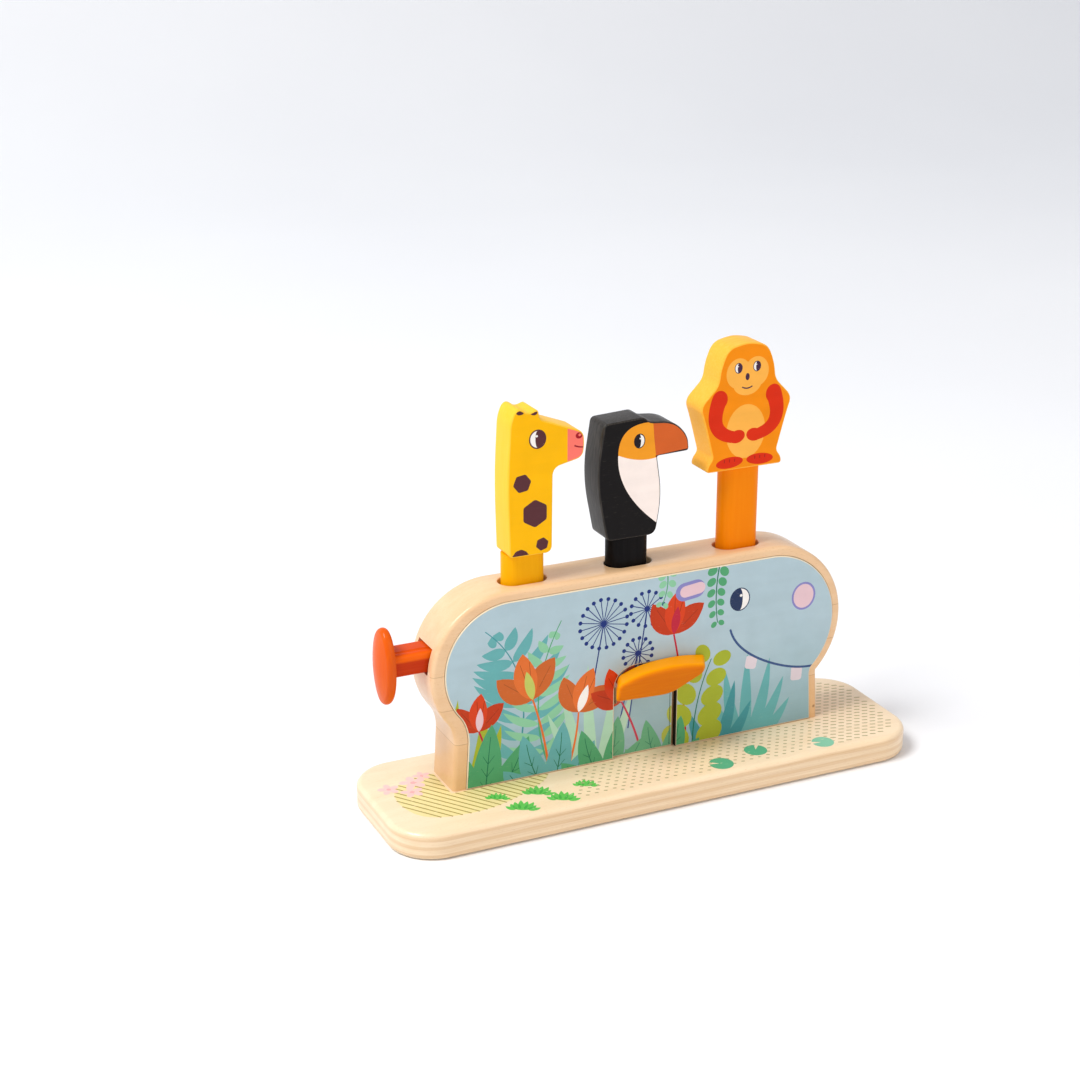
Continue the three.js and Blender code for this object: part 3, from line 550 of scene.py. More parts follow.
tools += [box("tool", low_x, high_x, y, y + slot_depth, low_z, high_z)
          for low_x, high_x, low_z, high_z in side_slots.values() for y in slot_starts]
cut(block, *tools, *[screw_hole(x) for x in screw_x], smooth=35)
dress(block, block_wood, "toy", "block_wood", "hippo_block")
print("hippo block", len(block.data.polygons), "faces")

# %% [markdown]
# ## Panels and hatches
# The printed sides are thin boards let into the block and a little proud of it, so a pale sawn edge
# frames the print. Each has the lever's window, and in the window sits a hatch plate, set deeper. The
# panel's outline follows the hippo's bottom line, then goes up and round the window, as the saw does. The
# wide gap on the nose side of the hatch is painted near black as shade, so that it reads as one black line.

# %% Finish of the sawn edges
gap_middle, gap_top = 19.1, 90
board_edge, tree, surface = material("sawn_board_edge", Specular_IOR_Level=0.3)
figure = grained(tree, (240, 226, 198), (222, 200, 164), (190, 160, 120), 0.4, 0.2)
# Painted shade: a narrow band round x = 19.1 mm, below z = 90 mm, is painted near black for the shade in the
# gap.
gap_painted_shade = ramp(tree, away_from(tree, axis_of(tree, "X"), gap_middle * mm), 0.7 * mm, 0.6 * mm)
gap_painted_shade = times(tree, gap_painted_shade, ramp(tree, axis_of(tree, "Z"), gap_top * mm, (gap_top - 2) * mm))
edge_with_gap_shade = mix(tree, gap_painted_shade, figure["Color"], (24, 19, 16))
coat_with(tree, surface, edge_with_gap_shade, figure["Roughness"], figure["Height"], 0.08)
print("sawn edge has", len(tree.nodes), "nodes")

# %% The panels and hatches
board_foot = base["thick"] + seat_gap
def panel_outline(inset):
    """The hippo's outline from its left foot along the bottom, up round the window and down again."""
    bottom = board_foot + inset
    whole = hippo_outline(panel_inset + inset, hippo["x"] + panel_shift, bottom)
    opening = window_outline(-inset, -inset, bottom)
    return tidy(np.concatenate([whole, np.roll(opening[::-1], 1, 0)]))

def hatch_outline(inset):
    return window_outline(seat_gap + inset, wide_gap + inset, board_foot + inset)

hatch_notch = rounded([[-18, 45.4, 0.4], [-14.6, 45.4, 0.9], [-14.9, 55, 0.4], [-18, 55, 0.4]])
hatch_back = core_half - hatch_pocket
hatch_face = hatch_back + hatch_thick
for side, place in sides:
    panel = side_slab(panel_outline(0), core_half, panel_face, side, f"{place}_side_panel", panel_edge)
    dress(panel, board_edge, "toy", "printed_panel", f"{place}_panel")
    hatch = side_slab(hatch_outline(0), hatch_back, hatch_face, side, f"{place}_hatch_plate", hatch_edge)
    cut(hatch, axle_bore(0, 30, side), side_slab(hatch_notch, 0, 30, side))
    dress(hatch, board_edge, "toy", "printed_hatch", f"{place}_hatch")
    print(panel.name, len(panel.data.polygons), "faces,", hatch.name, len(hatch.data.polygons))

# %% [markdown]
# ## Prints
# The coloured sides are prints: flat areas of ink with sharp edges, many of them overlapping. An image
# would need a file, and a raised plate for each shape would stack up. Here all shapes are laid on the
# outline of the board and cut into one flat patchwork of triangles, and each triangle takes the colour
# of the topmost shape over it. The patchwork is a film a few hundredths of a millimetre thick, closed
# all round.

# %% A printed film
ink_colours = dict(
    panel_sky=(179, 203, 213), panel_low=(146, 183, 193), teal=(104, 176, 178), deep_teal=(70, 150, 158),
    green=(84, 166, 116), leaf_dark=(38, 116, 84), mint=(142, 204, 164), pale_mint=(176, 218, 190),
    lime=(168, 182, 52), pale_lime=(196, 206, 104), coral=(228, 116, 52), red=(216, 68, 28),
    berry=(190, 40, 62), navy=(34, 54, 124), eye_navy=(40, 56, 92), white=(250, 248, 244),
    rose=(232, 200, 208), violet=(140, 138, 198), smile=(66, 90, 136), tooth=(226, 214, 222))

def ink_of(colour):
    return ink_colours[colour] if isinstance(colour, str) else colour

def patchwork(region, shapes):
    """Cuts the region and all shapes into triangles. Returns the points, the triangles and the number of
    the topmost shape over each: 0 is the region itself, and -1 marks a triangle outside it."""
    outlines = [tidy(region)] + [tidy(np.asarray(outline, float)) for outline, _ in shapes]
    start = np.cumsum([0] + [len(o) for o in outlines])
    rings = [list(range(a, b)) for a, b in zip(start[:-1], start[1:])]
    flat, _, triangles, _, _, owners = delaunay_2d_cdt(
        [Vector(p) for p in np.concatenate(outlines)], [], rings, 1, 1e-5, True)
    top = np.array([max(own) if 0 in own else -1 for own in owners])
    return np.array([tuple(p) for p in flat]), np.array([list(t) for t in triangles]), top

def printed_film(name, region, shapes, ground, place, thick=film_thick, shade_of=None):
    """A closed film over the patchwork of (outline, colour) shapes. The colour None leaves a place bare.
    place(flat, lift) puts points into the room, and shade_of(flat) is the ground's light at each point.
    Edges that only one kept triangle has are the border, and a wall closes the film along them."""
    colours = [ground] + [colour for _, colour in shapes]
    flat, faces, top = patchwork(region, shapes)
    bare = np.array([colour is None for colour in colours])
    keep = (top >= 0) & ~bare[top]
    top = top[keep]
    used, faces = np.unique(faces[keep], return_inverse=True)
    flat, faces = flat[used], faces.reshape(-1, 3)
    edges = np.concatenate([faces[:, [0, 1]], faces[:, [1, 2]], faces[:, [2, 0]]])
    _, which, count = np.unique(np.sort(edges, 1), axis=0, return_index=True, return_counts=True)
    which = which[count == 1]
    border, tall = edges[which], len(flat)
    walls = np.stack([border[:, 0], border[:, 1], border[:, 1] + tall, border[:, 0] + tall], 1)
    triangles = np.concatenate([faces[:, ::-1], faces + tall])
    mesh = bpy.data.meshes.new(name)
    points = np.concatenate([place(flat, 0.0), place(flat, thick)]) * mm
    mesh.from_pydata(points.tolist(), [], triangles.tolist() + walls.tolist())
    table = np.array([daylight(*(ink_of(colour) or (0, 0, 0))) for colour in colours])
    owner = np.concatenate([np.repeat(np.concatenate([top, top]), 3), np.repeat(top[which % len(faces)], 4)])
    ink = table[owner]
    if shade_of is not None:
        corners = np.concatenate([triangles.ravel(), walls.ravel()]) % tall
        ink = np.where((owner == 0)[:, None], shade_of(flat[corners]), ink)
    layer = mesh.color_attributes.new("ink", "FLOAT_COLOR", "CORNER")
    layer.data.foreach_set("color", ink.astype(np.float32).ravel())
    turned_outwards(mesh, merge=False)
    mesh.shade_flat()
    return linked(name, mesh)

def on_side(side, distance):
    """Puts x and z on a plane in front of (side -1) or behind (side 1) the block's middle."""
    def place(flat, lift):
        y = np.full(len(flat), hippo["y"] + side * (distance + lift))
        return np.stack([flat[:, 0], y, flat[:, 1]], 1)
    return place

def on_top(flat, lift):
    return np.stack([flat[:, 0], flat[:, 1], np.full(len(flat), base["thick"] + lift)], 1)

print("inks:", len(ink_colours))

# %% [markdown]
# The ink takes its colour from the film's own colour layer. Real print on wood is never even: it has a
# fine mottle, the board's pores show as tiny lighter ticks, and the varnish over it is satin.

# %% Finish of the prints
ink_group, source = group("printed_ink", [
    ("Vector", "Vector", None), ("Ink", "Color", (1, 1, 1, 1)), ("Wear", "Float", 0.1)])
mottle, pores, waves = [noise(ink_group, scale, detail, source["Vector"]) for scale, detail in (
    ((90, 90, 90), 4.0), ((300, 900, 2200), 2.0), ((25, 25, 160), 2.0))]
toned = source["Ink"]
for share, factor in ((ramp(ink_group, mottle, 0.35, 0.75), 0.94), (ramp(ink_group, waves, 0.4, 0.8), 0.95)):
    dimmed = mix(ink_group, 1.0, toned, (factor, factor, factor, 1), "MULTIPLY")
    toned = mix(ink_group, share, toned, dimmed)
speck = times(ink_group, ramp(ink_group, pores, 0.64, 0.78), source["Wear"])
put_out(ink_group, mix(ink_group, speck, toned, (244, 228, 196)),
        math_of(ink_group, "ADD", pores, mottle), ramp(ink_group, mottle, -1.2, 2.4))

def printed(name, wear, coat, coat_roughness):
    made, tree, surface = material(name, Coat_Weight=coat, Coat_Roughness=coat_roughness,
                                   Specular_IOR_Level=0.08)
    layer = node(tree, "ShaderNodeVertexColor", layer_name="ink").outputs["Color"]
    sockets = [("Vector", placed(tree)), ("Ink", layer), ("Wear", wear)]
    ink = node(tree, "ShaderNodeGroup", sockets, node_tree=ink_group).outputs
    coat_with(tree, surface, ink["Color"], ink["Roughness"], ink["Height"], 0.06)
    return made

panel_print = printed("panel_print", 0.10, 0.12, 0.25)
hatch_print = printed("hatch_print", 0.16, 0.1, 0.3)
board_print = printed("board_print", 0.03, 0.05, 0.15)
base_print = printed("base_print", 0.5, 0.12, 0.22)
print("print finishes:", panel_print.name, hatch_print.name, board_print.name, base_print.name)

# %% [markdown]
# ## Leaves and flowers
# The side carries a thicket of leaves. Each kind of plant is a small function that returns shapes, all
# made from one leaf: two bowed edges whose distance from the midline swells and closes again. The
# plants here are plain kinds of their own: ferns, reeds, round leaves, bells, seed heads and hostas.

# %% Leaf, stalk and oval
def beside(path):
    """The unit direction along a path at each point, from its neighbours, and the unit normal to it."""
    along = np.gradient(path, axis=0)
    along = along / np.linalg.norm(along, axis=1, keepdims=True)
    return along, np.stack([-along[:, 1], along[:, 0]], 1)

def widened(middle, half):
    """An outline at half the width on both sides of a midline."""
    _, out = beside(middle)
    return np.concatenate([middle + out * half, (middle - out * half)[::-1]])

def leaf(base_at, tip, width, bow=0.0, full=0.8, steps=11):
    """Midline base + (tip - base) t + bow |length| sin(pi t) to its side. Half the width at t is
    width / 2 * sin(pi t^full)^0.8, so a small full puts the widest place near the base."""
    a, b = np.array(base_at, float), np.array(tip, float)
    t = np.linspace(0.0, 1.0, steps)[:, None]
    run = b - a
    middle = a + run * t + np.array([-run[1], run[0]]) * bow * np.sin(math.pi * t)
    return widened(middle, width / 2 * np.clip(np.sin(math.pi * t ** full), 0, 1) ** 0.8)

def stalk(points, thick, thin, steps=18):
    """A stem along a bend through three points, its width going from thick to thin."""
    return widened(bend(*points, steps), np.linspace(thick, thin, steps)[:, None] / 2)

def oval(x, z, rx, rz=None, turn=0.0, steps=30):
    """x + rx cos(a), z + rz sin(a), turned about its middle."""
    a = np.linspace(0, 2 * math.pi, steps, endpoint=False)
    return turned_by(np.stack([rx * np.cos(a), (rz or rx) * np.sin(a)], 1), turn) + [x, z]

def reach(x, z, degrees, length):
    """The point that lies a length away from x, z, some degrees from upright towards the nose."""
    a = math.radians(degrees)
    return x + length * math.sin(a), z + length * math.cos(a)

def deeper(colour, share):
    return tuple(int(c * share) for c in ink_of(colour))

print("a leaf has", len(leaf((0, 0), (0, 10), 4)), "points")

# %% Kinds of plants
def fern(base_at, tip, lean_to, pairs, leaflet, width, colour, rib):
    """Leaflets in pairs along a bent rib, longest a third of the way up, each pointing up the rib."""
    middle = bend(base_at, lean_to, tip, pairs + 2)[1:-1]
    size = leaflet * np.sin(math.pi * (0.22 + 0.74 * np.linspace(0, 1, pairs))) ** 0.9
    shapes = [(leaf(p, p + (d * 0.62 + s * turn) * l, width, 0.08 * turn, 0.75), colour)
              for p, d, s, l in zip(middle, *beside(middle), size) for turn in (-1, 1)]
    return shapes + [(stalk((base_at, lean_to, tip), 1.1, 0.5, 24), rib)]

def reeds(x, z, blades, width, colour):
    """Blades from one foot: each is (degrees from upright, length, bow)."""
    return [(leaf((x + 3 * math.sin(math.radians(a)), z), reach(x, z, a, l), width, bow, 0.7), colour)
            for a, l, bow in blades]

def round_leaves(points, size, count, colour, rib):
    """Round leaves on both sides of a bent stem, smaller to its end."""
    middle = bend(*points, count + 1)
    along, side = beside(middle)
    shapes = [(stalk(points, 0.8, 0.5), rib)]
    for i, (p, d, s) in enumerate(zip(middle[1:], along[1:], side[1:])):
        r = size * (1 - 0.45 * i / count)
        for turn in (-1, 1):
            q = p + s * turn * r * 1.15 + d * r * 0.3
            shapes.append((oval(*q, r, r * 0.78, math.atan2(d[1], d[0]) + turn * 0.9, 18), colour))
    return shapes

print("a fern of 10 pairs has", len(fern((0, 0), (0, 90), (20, 50), 10, 20, 5, "teal", "green")), "shapes")

# %% Flowers, seed heads and hostas
def bell(x, z, size, turn, outer, inner, stem_to, stem):
    """A bell flower: three veined petals spread from one point, the outer two deeper in tone, a small
    petal of another colour before them, on a bent stem."""
    shapes = [(stalk((stem_to, ((x + stem_to[0]) / 2 + 4, (z + stem_to[1]) / 2), (x, z)), 1.5, 1.0), stem)]
    for spread, grow, tone in ((-42, 0.92, 0.9), (42, 0.92, 0.9), (0, 1.0, 1.0)):
        petal = leaf((x, z), reach(x, z, turn + spread, size * grow), size * 0.48, 0.05, 0.95)
        shapes.append((petal, deeper(outer, tone)))
        near, far = size * grow * 0.3, size * grow * 0.8
        for fan in (-7, 7) if spread == 0 else (0,):
            line = [reach(x, z, turn + spread + fan, l) for l in (near, (near + far) / 2, far)]
            shapes.append((stalk(line, 0.45, 0.3, 4), deeper(outer, 0.74)))
    shapes.append((leaf((x, z), reach(x, z, turn, size * 0.62), size * 0.2, 0, 0.9), inner))
    return shapes

def seed_head(x, z, radius, spokes, colour, stem_to):
    """Fine spokes round a point with a dot at each end, on a thin stem."""
    shapes = [(stalk((stem_to, ((x + stem_to[0]) / 2, (z + stem_to[1]) / 2 + 3), (x, z)), 0.8, 0.7), colour)]
    for a in np.linspace(0, 2 * math.pi, spokes, endpoint=False) + 0.13:
        tip = np.array([x + radius * math.cos(a), z + radius * math.sin(a)])
        shapes += [(stalk(((x, z), tuple((tip + [x, z]) / 2), tuple(tip)), 0.5, 0.5, 4), colour),
                   (oval(*tip, 1.15, steps=12), colour)]
    return shapes + [(oval(x, z, 1.6, steps=14), colour)]

def hosta(x, z, leaves, width, colour, rib):
    """Broad leaves from one foot with a rib and side veins: each is (degrees from upright, length, bow)."""
    shapes = []
    for a, l, bow in leaves:
        tip = reach(x, z, a, l)
        near = (x + 0.86 * (tip[0] - x), z + 0.86 * (tip[1] - z))
        side = np.array([-(tip[1] - z), tip[0] - x]) * bow
        mid = ((x + near[0]) / 2 + side[0] * 2, (z + near[1]) / 2 + side[1] * 2)
        shapes += [(leaf((x, z), tip, width, bow, 0.85, 15), colour),
                   (stalk(((x, z), mid, near), 0.8, 0.35), rib)]
        for share in (0.3, 0.47, 0.64):
            foot = ((1 - share) ** 2 * np.array([x, z]) + 2 * share * (1 - share) * np.array(mid)
                    + share ** 2 * np.array(near))
            vein = width * 0.4 * (1 - 0.5 * abs(share - 0.4))
            for turn in (-0.62, 0.62):
                way = math.radians(a) + turn
                end = foot + vein * np.array([math.sin(way), math.cos(way)])
                shapes.append((stalk((foot, (foot + end) / 2, end), 0.4, 0.25, 3), rib))
    return shapes

print("a bell has", len(bell(0, 40, 20, 0, "coral", "white", (0, 0), "coral")), "shapes")

# %% The thicket
thicket = [
    *fern((-80, 4), (-90, 100), (-54, 70), 10, 27, 6.4, "teal", "deep_teal"),
    *fern((-48, 4), (-48, 99), (-74, 52), 11, 19, 4.6, "mint", "green"),
    *seed_head(-24, 93, 13.5, 20, "navy", (-36, 20)), *seed_head(1, 97, 9.5, 14, "navy", (-8, 30)),
    *seed_head(-4, 73, 8.5, 14, "navy", (-16, 20)),
    *reeds(-28, 4, [(-32, 52, 0.05), (-18, 62, 0.04), (-4, 68, 0.02), (10, 62, -0.03), (25, 52, -0.05)],
           6.6, "pale_mint"),
    *reeds(-102, 4, [(-16, 50, 0.06), (-3, 62, 0.05), (11, 58, -0.05), (25, 48, -0.07)], 8.0, "lime"),
    *reeds(62, 4, [(-30, 42, 0.05), (-15, 52, 0.04), (0, 57, 0.0), (15, 54, -0.04), (30, 46, -0.05),
                   (46, 38, -0.06)], 7.4, "teal"),
    *reeds(44, 4, [(-30, 34, 0.05), (-8, 42, 0.03), (14, 44, -0.03), (36, 36, -0.05)], 7.4, "deep_teal"),
    *bell(-64, 58, 27, -12, "coral", "pale_lime", (-54, 4), "coral"),
    *bell(-38, 46, 25, 20, "coral", "white", (-48, 4), "coral"),
    *bell(17, 80, 25, 8, "red", "berry", (26, 4), "berry"),
    *bell(-12, 46, 23, -22, "red", "rose", (2, 4), "berry"),
    *bell(-94, 46, 21, 4, "red", "rose", (-86, 4), "berry"),
    *round_leaves(((30, 4), (28, 36), (40, 62)), 8.6, 5, "lime", "leaf_dark"),
    *hosta(-92, 0, [(-50, 38, 0.08), (-22, 46, 0.05), (6, 49, 0.0), (34, 46, -0.06), (60, 40, -0.08)],
           16, "green", "leaf_dark"),
    *hosta(-54, 0, [(-52, 34, 0.08), (-22, 42, 0.05), (10, 43, -0.03), (42, 38, -0.08)],
           14.5, "teal", "leaf_dark"),
    *hosta(-22, 0, [(-54, 32, 0.08), (-22, 38, 0.05), (12, 39, -0.04), (46, 34, -0.08)],
           13, "green", "leaf_dark"),
    *hosta(12, 0, [(-50, 28, 0.08), (-16, 34, 0.04), (18, 34, -0.05), (52, 28, -0.08)],
           12, "green", "leaf_dark"),
    *round_leaves(((44, 118), (40, 100), (43, 82)), 3.1, 6, "green", "leaf_dark"),
    *round_leaves(((11, 120), (15, 110), (10, 98)), 2.7, 4, "mint", "green")]
print("thicket of", len(thicket), "shapes")

# %% [markdown]
# ## The hippo's face
# At the nose end the print is a plain animal face: an eye, a nostril, a long smile with two small teeth,
# and an ear near the back.

# %% Shapes of the face
def bar_shape(x, z, length, height, turn):
    """A bar with round ends, turned about its middle."""
    return turned_by(stadium(0, 0, length, height, 10), turn) + [x, z]

def line_through(points, width, steps=60):
    """An even line with round ends: a curve of the fourth degree fitted to x and z over the length."""
    p = np.array(points, float)
    run = np.insert(np.cumsum(np.linalg.norm(np.diff(p, axis=0), axis=1)), 0, 0)
    t = np.linspace(0, run[-1], steps)
    middle = np.stack([np.polyval(np.polyfit(run, p[:, i], 4), t) for i in (0, 1)], 1)
    along, out = beside(middle)
    def cap(i, start, end):
        a = np.linspace(start, end, 9)[1:-1, None] * math.pi
        return middle[i] + width / 2 * (along[i] * np.cos(a) + out[i] * np.sin(a))
    return np.concatenate([middle + out * width / 2, cap(-1, 0.5, -0.5),
                           (middle - out * width / 2)[::-1], cap(0, -0.5, -1.5)])

def eye(x, z, rx, rz, dark, look_left, rim):
    """A dark rim, a white ball in it, and a dark half whose edge bulges to the white side."""
    way = 1 if look_left else -1
    turn = np.linspace(math.pi / 2, 3 * math.pi / 2, 20)
    inner_x, inner_z = rx - rim, rz - rim
    outer = np.stack([inner_x * np.cos(turn), inner_z * np.sin(turn)], 1)
    bulge = np.stack([0.3 * inner_x * np.cos(turn[::-1] + math.pi), inner_z * np.sin(turn[::-1])], 1)
    half = np.concatenate([outer, bulge[1:-1]]) * [way, 1] + [x, z]
    spark = oval(x + 0.1 * way * rx, z + 0.32 * rz, 0.13 * rx, steps=12)
    return [(oval(x, z, rx, rz), dark), (oval(x, z, inner_x, inner_z), "white"), (half, dark),
            (spark, "white")]

smile_points = [(51.1, 76.2), (53.6, 70.6), (57.6, 65.3), (68.4, 57.5), (83.0, 50.1), (95.7, 47.2),
                (103.4, 46.4)]
face = [
    (bar_shape(26.2, 103.1, 17.5, 10.2, 0.12), "violet"), (bar_shape(27.6, 103.2, 15, 6.4, 0.12), "rose"),
    *eye(56.2, 93.0, 6.1, 6.6, "eye_navy", True, 0.6),
    (oval(95.5, 88.4, 7.4, 8.0), "violet"), (oval(95.5, 88.4, 6.2, 6.8), "rose"),
    (rounded([[60.4, 52.4, 2], [67.2, 50.9, 2], [68.4, 57.6, 1], [61.6, 59.6, 1]]), "tooth"),
    (rounded([[89.6, 39.8, 2], [96.4, 39.4, 2], [96.8, 46.4, 1], [89.8, 47.6, 1]]), "tooth"),
    (line_through(smile_points, 1.3), "smile")]
print("face of", len(face), "shapes")

# %% Print the panels and hatches
sky, low = [np.array(daylight(*ink_colours[name])) for name in ("panel_sky", "panel_low")]
def darker_to_foot(where):
    """From the panel_sky tone at the top to the panel_low tone at the foot, straight with height."""
    share = np.clip((where[:, 1:] - 15) / 50, 0, 1)
    return low + (sky - low) * share

# Painted reflection: the hatch's inks are lightened 16 % towards pale cream, for the glare on the hatch.
def glare_paled(colour):
    return tuple(int(c + (235 - c) * 0.16) for c in ink_of(colour))

panel_print_inset, hatch_print_inset = 0.5, 0.45
seam = stalk(((16.8, 14), (16.8, 34), (16.7, 54)), 0.35, 0.35, 3)
hatch_shapes = [(shape, glare_paled(colour)) for shape, colour in thicket] + [
    (seam, (60, 90, 84)), (oval(axle_x, axle_z, axle_hole + 0.1), None), (hatch_notch + [0, 0.1], None)]
for side, place in sides:
    film = printed_film(f"{place}_side_print", panel_outline(panel_print_inset), thicket + face,
                        "panel_sky", on_side(side, panel_face), shade_of=darker_to_foot)
    dress(film, panel_print, "toy", "printed_panel")
    cover = printed_film(f"{place}_hatch_print", hatch_outline(hatch_print_inset), hatch_shapes,
                         glare_paled("panel_low"), on_side(side, hatch_face))
    dress(cover, hatch_print, "toy", "printed_hatch")
    print(film.name, len(film.data.polygons), "faces")

# %% [markdown]
# ## The base print
# The base is left bare wood with a few small prints on it, like ground around a pond: a striped yellow
# patch, pink blossom, tufts of grass, water-lily pads, and rows of small dashes for rain on water.

# %% The striped patch
patch = rounded([[-139, -3, 14], [-134, 14, 10], [-112, 21, 12], [-88, 14, 12], [-66, 6, 12], [-54, -4, 5],
                 [-60, -12, 8], [-76, -21, 12], [-96, -29, 12], [-120, -29, 12], [-134, -22, 8]])
ground = [(patch, (231, 216, 154))]

def chord(outline, point, way):
    """Where a line through a point cuts a closed outline: for each edge that it crosses, the distance
    along the line, from the two edge ends' signed distances to it."""
    rel = outline - point
    off = rel[:, 0] * way[1] - rel[:, 1] * way[0]
    run = rel @ way
    other, run_on = np.roll(off, -1), np.roll(run, -1)
    cross = off * other < 0
    share = off[cross] / (off[cross] - other[cross])
    hits = run[cross] + share * (run_on[cross] - run[cross])
    return (hits.min(), hits.max()) if len(hits) > 1 else None

stripe_way, stripe_step, stripe_pitch = np.array([0.59, -0.807]), np.array([0.807, 0.59]), 3.7
for step in np.arange(-11, 12):
    foot = patch.mean(0) + stripe_step * stripe_pitch * step
    ends = chord(patch, foot, stripe_way)
    if ends and ends[1] - ends[0] > 4:
        a, b = foot + stripe_way * (ends[0] - 0.3), foot + stripe_way * (ends[1] + 0.3)
        ground.append((stalk((a, (a + b) / 2, b), 0.85, 0.85, 2), (158, 142, 74)))
print("patch of", len(patch), "points and", len(ground) - 1, "stripes")

# %% Blossom and grass
def blossom(x, y, size, colour, heart):
    petals = [(oval(x + size * math.cos(a), y + size * math.sin(a), size * 0.72, size * 0.52, a, 16), colour)
              for a in np.arange(5) * 2 * math.pi / 5 + 0.3]
    return petals + [(oval(x, y, size * 0.34, steps=12), heart)]

for x, y, size in ((-123, 14, 4.2), (-137, 12, 3.4), (-127, 4.5, 3.6), (-116, 19.5, 2.8)):
    ground += blossom(x, y, size, (246, 196, 192), (236, 168, 172))

blades = ((-74, 0.92, 0.1), (-50, 0.84, 0.06), (-30, 0.9, 0.03), (-8, 1, 0),
          (14, 0.92, 0), (34, 1, -0.03), (56, 0.86, -0.06), (76, 1, -0.1))
fresh_green, deep_green, tuft_turn = (98, 190, 84), (74, 168, 70), -0.5
for x, y, size in ((-91, -20.5, 7), (-70, -24, 9.4), (-84, -36, 9.6), (-61, -35, 9.4), (-44, -26, 7.4)):
    tuft = [*reeds(x, y, [(a, size * share, bow) for a, share, bow in blades], size * 0.34, fresh_green),
            (oval(x, y + size * 0.16, size * 0.5, size * 0.26, 0, 16), fresh_green),
            *reeds(x, y, [(a, size * 0.62, 0) for a in (-58, -20, 24, 64)], size * 0.16, deep_green)]
    ground += [(turned_by(shape - [x, y], tuft_turn) + [x, y], colour) for shape, colour in tuft]
print("ground shapes so far", len(ground))

# %% Rain rows
# The rows keep to the plate, start past the patch and leave out the block's place.
dash_steps, dash_start = np.array([[5.3, 0.4], [-2.2, -3.4]]), [40, -10]
rows, columns = np.meshgrid(np.arange(-50, 60), np.arange(-60, 60))
spots = np.stack([rows.ravel(), columns.ravel()], 1) @ dash_steps + dash_start
x, y = spots.T
inside = (np.abs(x) < 144) & (np.abs(y) < 38.5) & (x > -38 + 0.4 * y)
corner = np.hypot(np.clip(np.abs(x) - 122, 0, None), np.clip(np.abs(y) - 16, 0, None))
under_block = (np.abs(x + 0.6) < 111) & (y > -6.5) & (y < 25)
spots = spots[inside & (corner < 22) & ~under_block]
def dash(spot):
    """A short bar that is longer beyond the nose."""
    return turned_by(stadium(0, 0, 3.3 if spot[0] > 100 else 2.1, 0.9, 4), -0.3) + spot

ground += [(dash(spot), (170, 160, 120)) for spot in spots]
print("rain of", len(spots), "dashes")

# %% Water-lily pads and the base's film
def lily_pad(x, y, radius, notch, colour):
    """A disc with a narrow bite from near its middle to its rim."""
    turn = np.linspace(notch + 0.2, notch + 2 * math.pi - 0.2, 34)
    disc = np.stack([x + radius * np.cos(turn), y + radius * np.sin(turn)], 1)
    bite = [x + 0.12 * radius * math.cos(notch), y + 0.12 * radius * math.sin(notch)]
    return np.concatenate([disc, [bite]]), colour

pad_green, pale_pad = (88, 168, 126), (128, 190, 158)
ground += [lily_pad(31.9, -33.2, 6.5, 2.7, pad_green), lily_pad(56.2, -27.0, 6.2, 1.0, pad_green),
           lily_pad(94.0, -33.5, 6.0, 2.9, pale_pad)]
footprint = np.array([[-109.6, -5.6], [108.6, -5.6], [108.6, 24.2], [-109.6, 24.2]])
ground.append((footprint, None))
print_margin = 4
printed_top = rounded_rectangle(base["length"] - 2 * print_margin, base["width"] - 2 * print_margin,
                                base["corner"] - print_margin)
base_film = printed_film("base_top_print", printed_top, ground, None, on_top, base_film_thick)
dress(base_film, base_print, "toy", "base_wood")
print("base print", len(base_film.data.polygons), "faces")

# %% [markdown]
# ## Lacquer on wood
# The animals, the button and the levers are dipped in coloured lacquer. Thin lacquer lets a little of
# the grain through, so the colour passes to that of a thinner film along long fine fibres, under a
# glossy coat with the faint ripple of a dipped film. One group makes the film, and each colour uses it.

# %% The lacquer group
film_group, source = group("lacquer_film", [
    ("Vector", "Vector", None), ("Color", "Color", (1, 1, 1, 1)), ("Thin Color", "Color", (1, 1, 1, 1)),
    ("Grain", "Float", 0.3)])
cloud, fibre, ripple = [noise(film_group, scale, detail, source["Vector"]) for scale, detail in (
    ((40, 40, 40), 3.0), ((45, 900, 900), 3.0), ((420, 420, 420), 1.0))]
seen = times(film_group, ramp(film_group, fibre, 0.42, 0.72), source["Grain"])
toned = mix(film_group, seen, source["Color"], source["Thin Color"])
thinner = times(film_group, ramp(film_group, cloud, 0.4, 0.75), 0.12)
toned = mix(film_group, thinner, toned, source["Thin Color"])
relief = math_of(film_group, "ADD", times(film_group, fibre, source["Grain"]), times(film_group, ripple, 0.5))
put_out(film_group, toned, relief, ramp(film_group, cloud, -1.4, 3.4))

def lacquer(name, colour, thin, grain_seen, gloss, along=(0, 0, 0), deep=None):
    """along turns the fibres. deep is (axis, middle, start, end, colour): between two distances from
    the middle, measured on one axis in mm, the lacquer passes to a darker colour as painted shade, so that
    the part near the middle reads as lit."""
    made, tree, surface = material(name, Coat_Weight=gloss, Coat_Roughness=0.08, Specular_IOR_Level=0.04)
    main = daylight(*colour)
    if deep:
        axis, middle, start, end, shaded_colour = deep
        away = away_from(tree, axis_of(tree, axis), middle * mm)
        main = mix(tree, ramp(tree, away, start * mm, end * mm), main, shaded_colour)
    sockets = [("Vector", placed(tree, turn=along)), ("Color", main), ("Thin Color", daylight(*thin)),
               ("Grain", grain_seen)]
    coat = node(tree, "ShaderNodeGroup", sockets, node_tree=film_group).outputs
    coat_with(tree, surface, coat["Color"], coat["Roughness"], coat["Height"], 0.08)
    return made

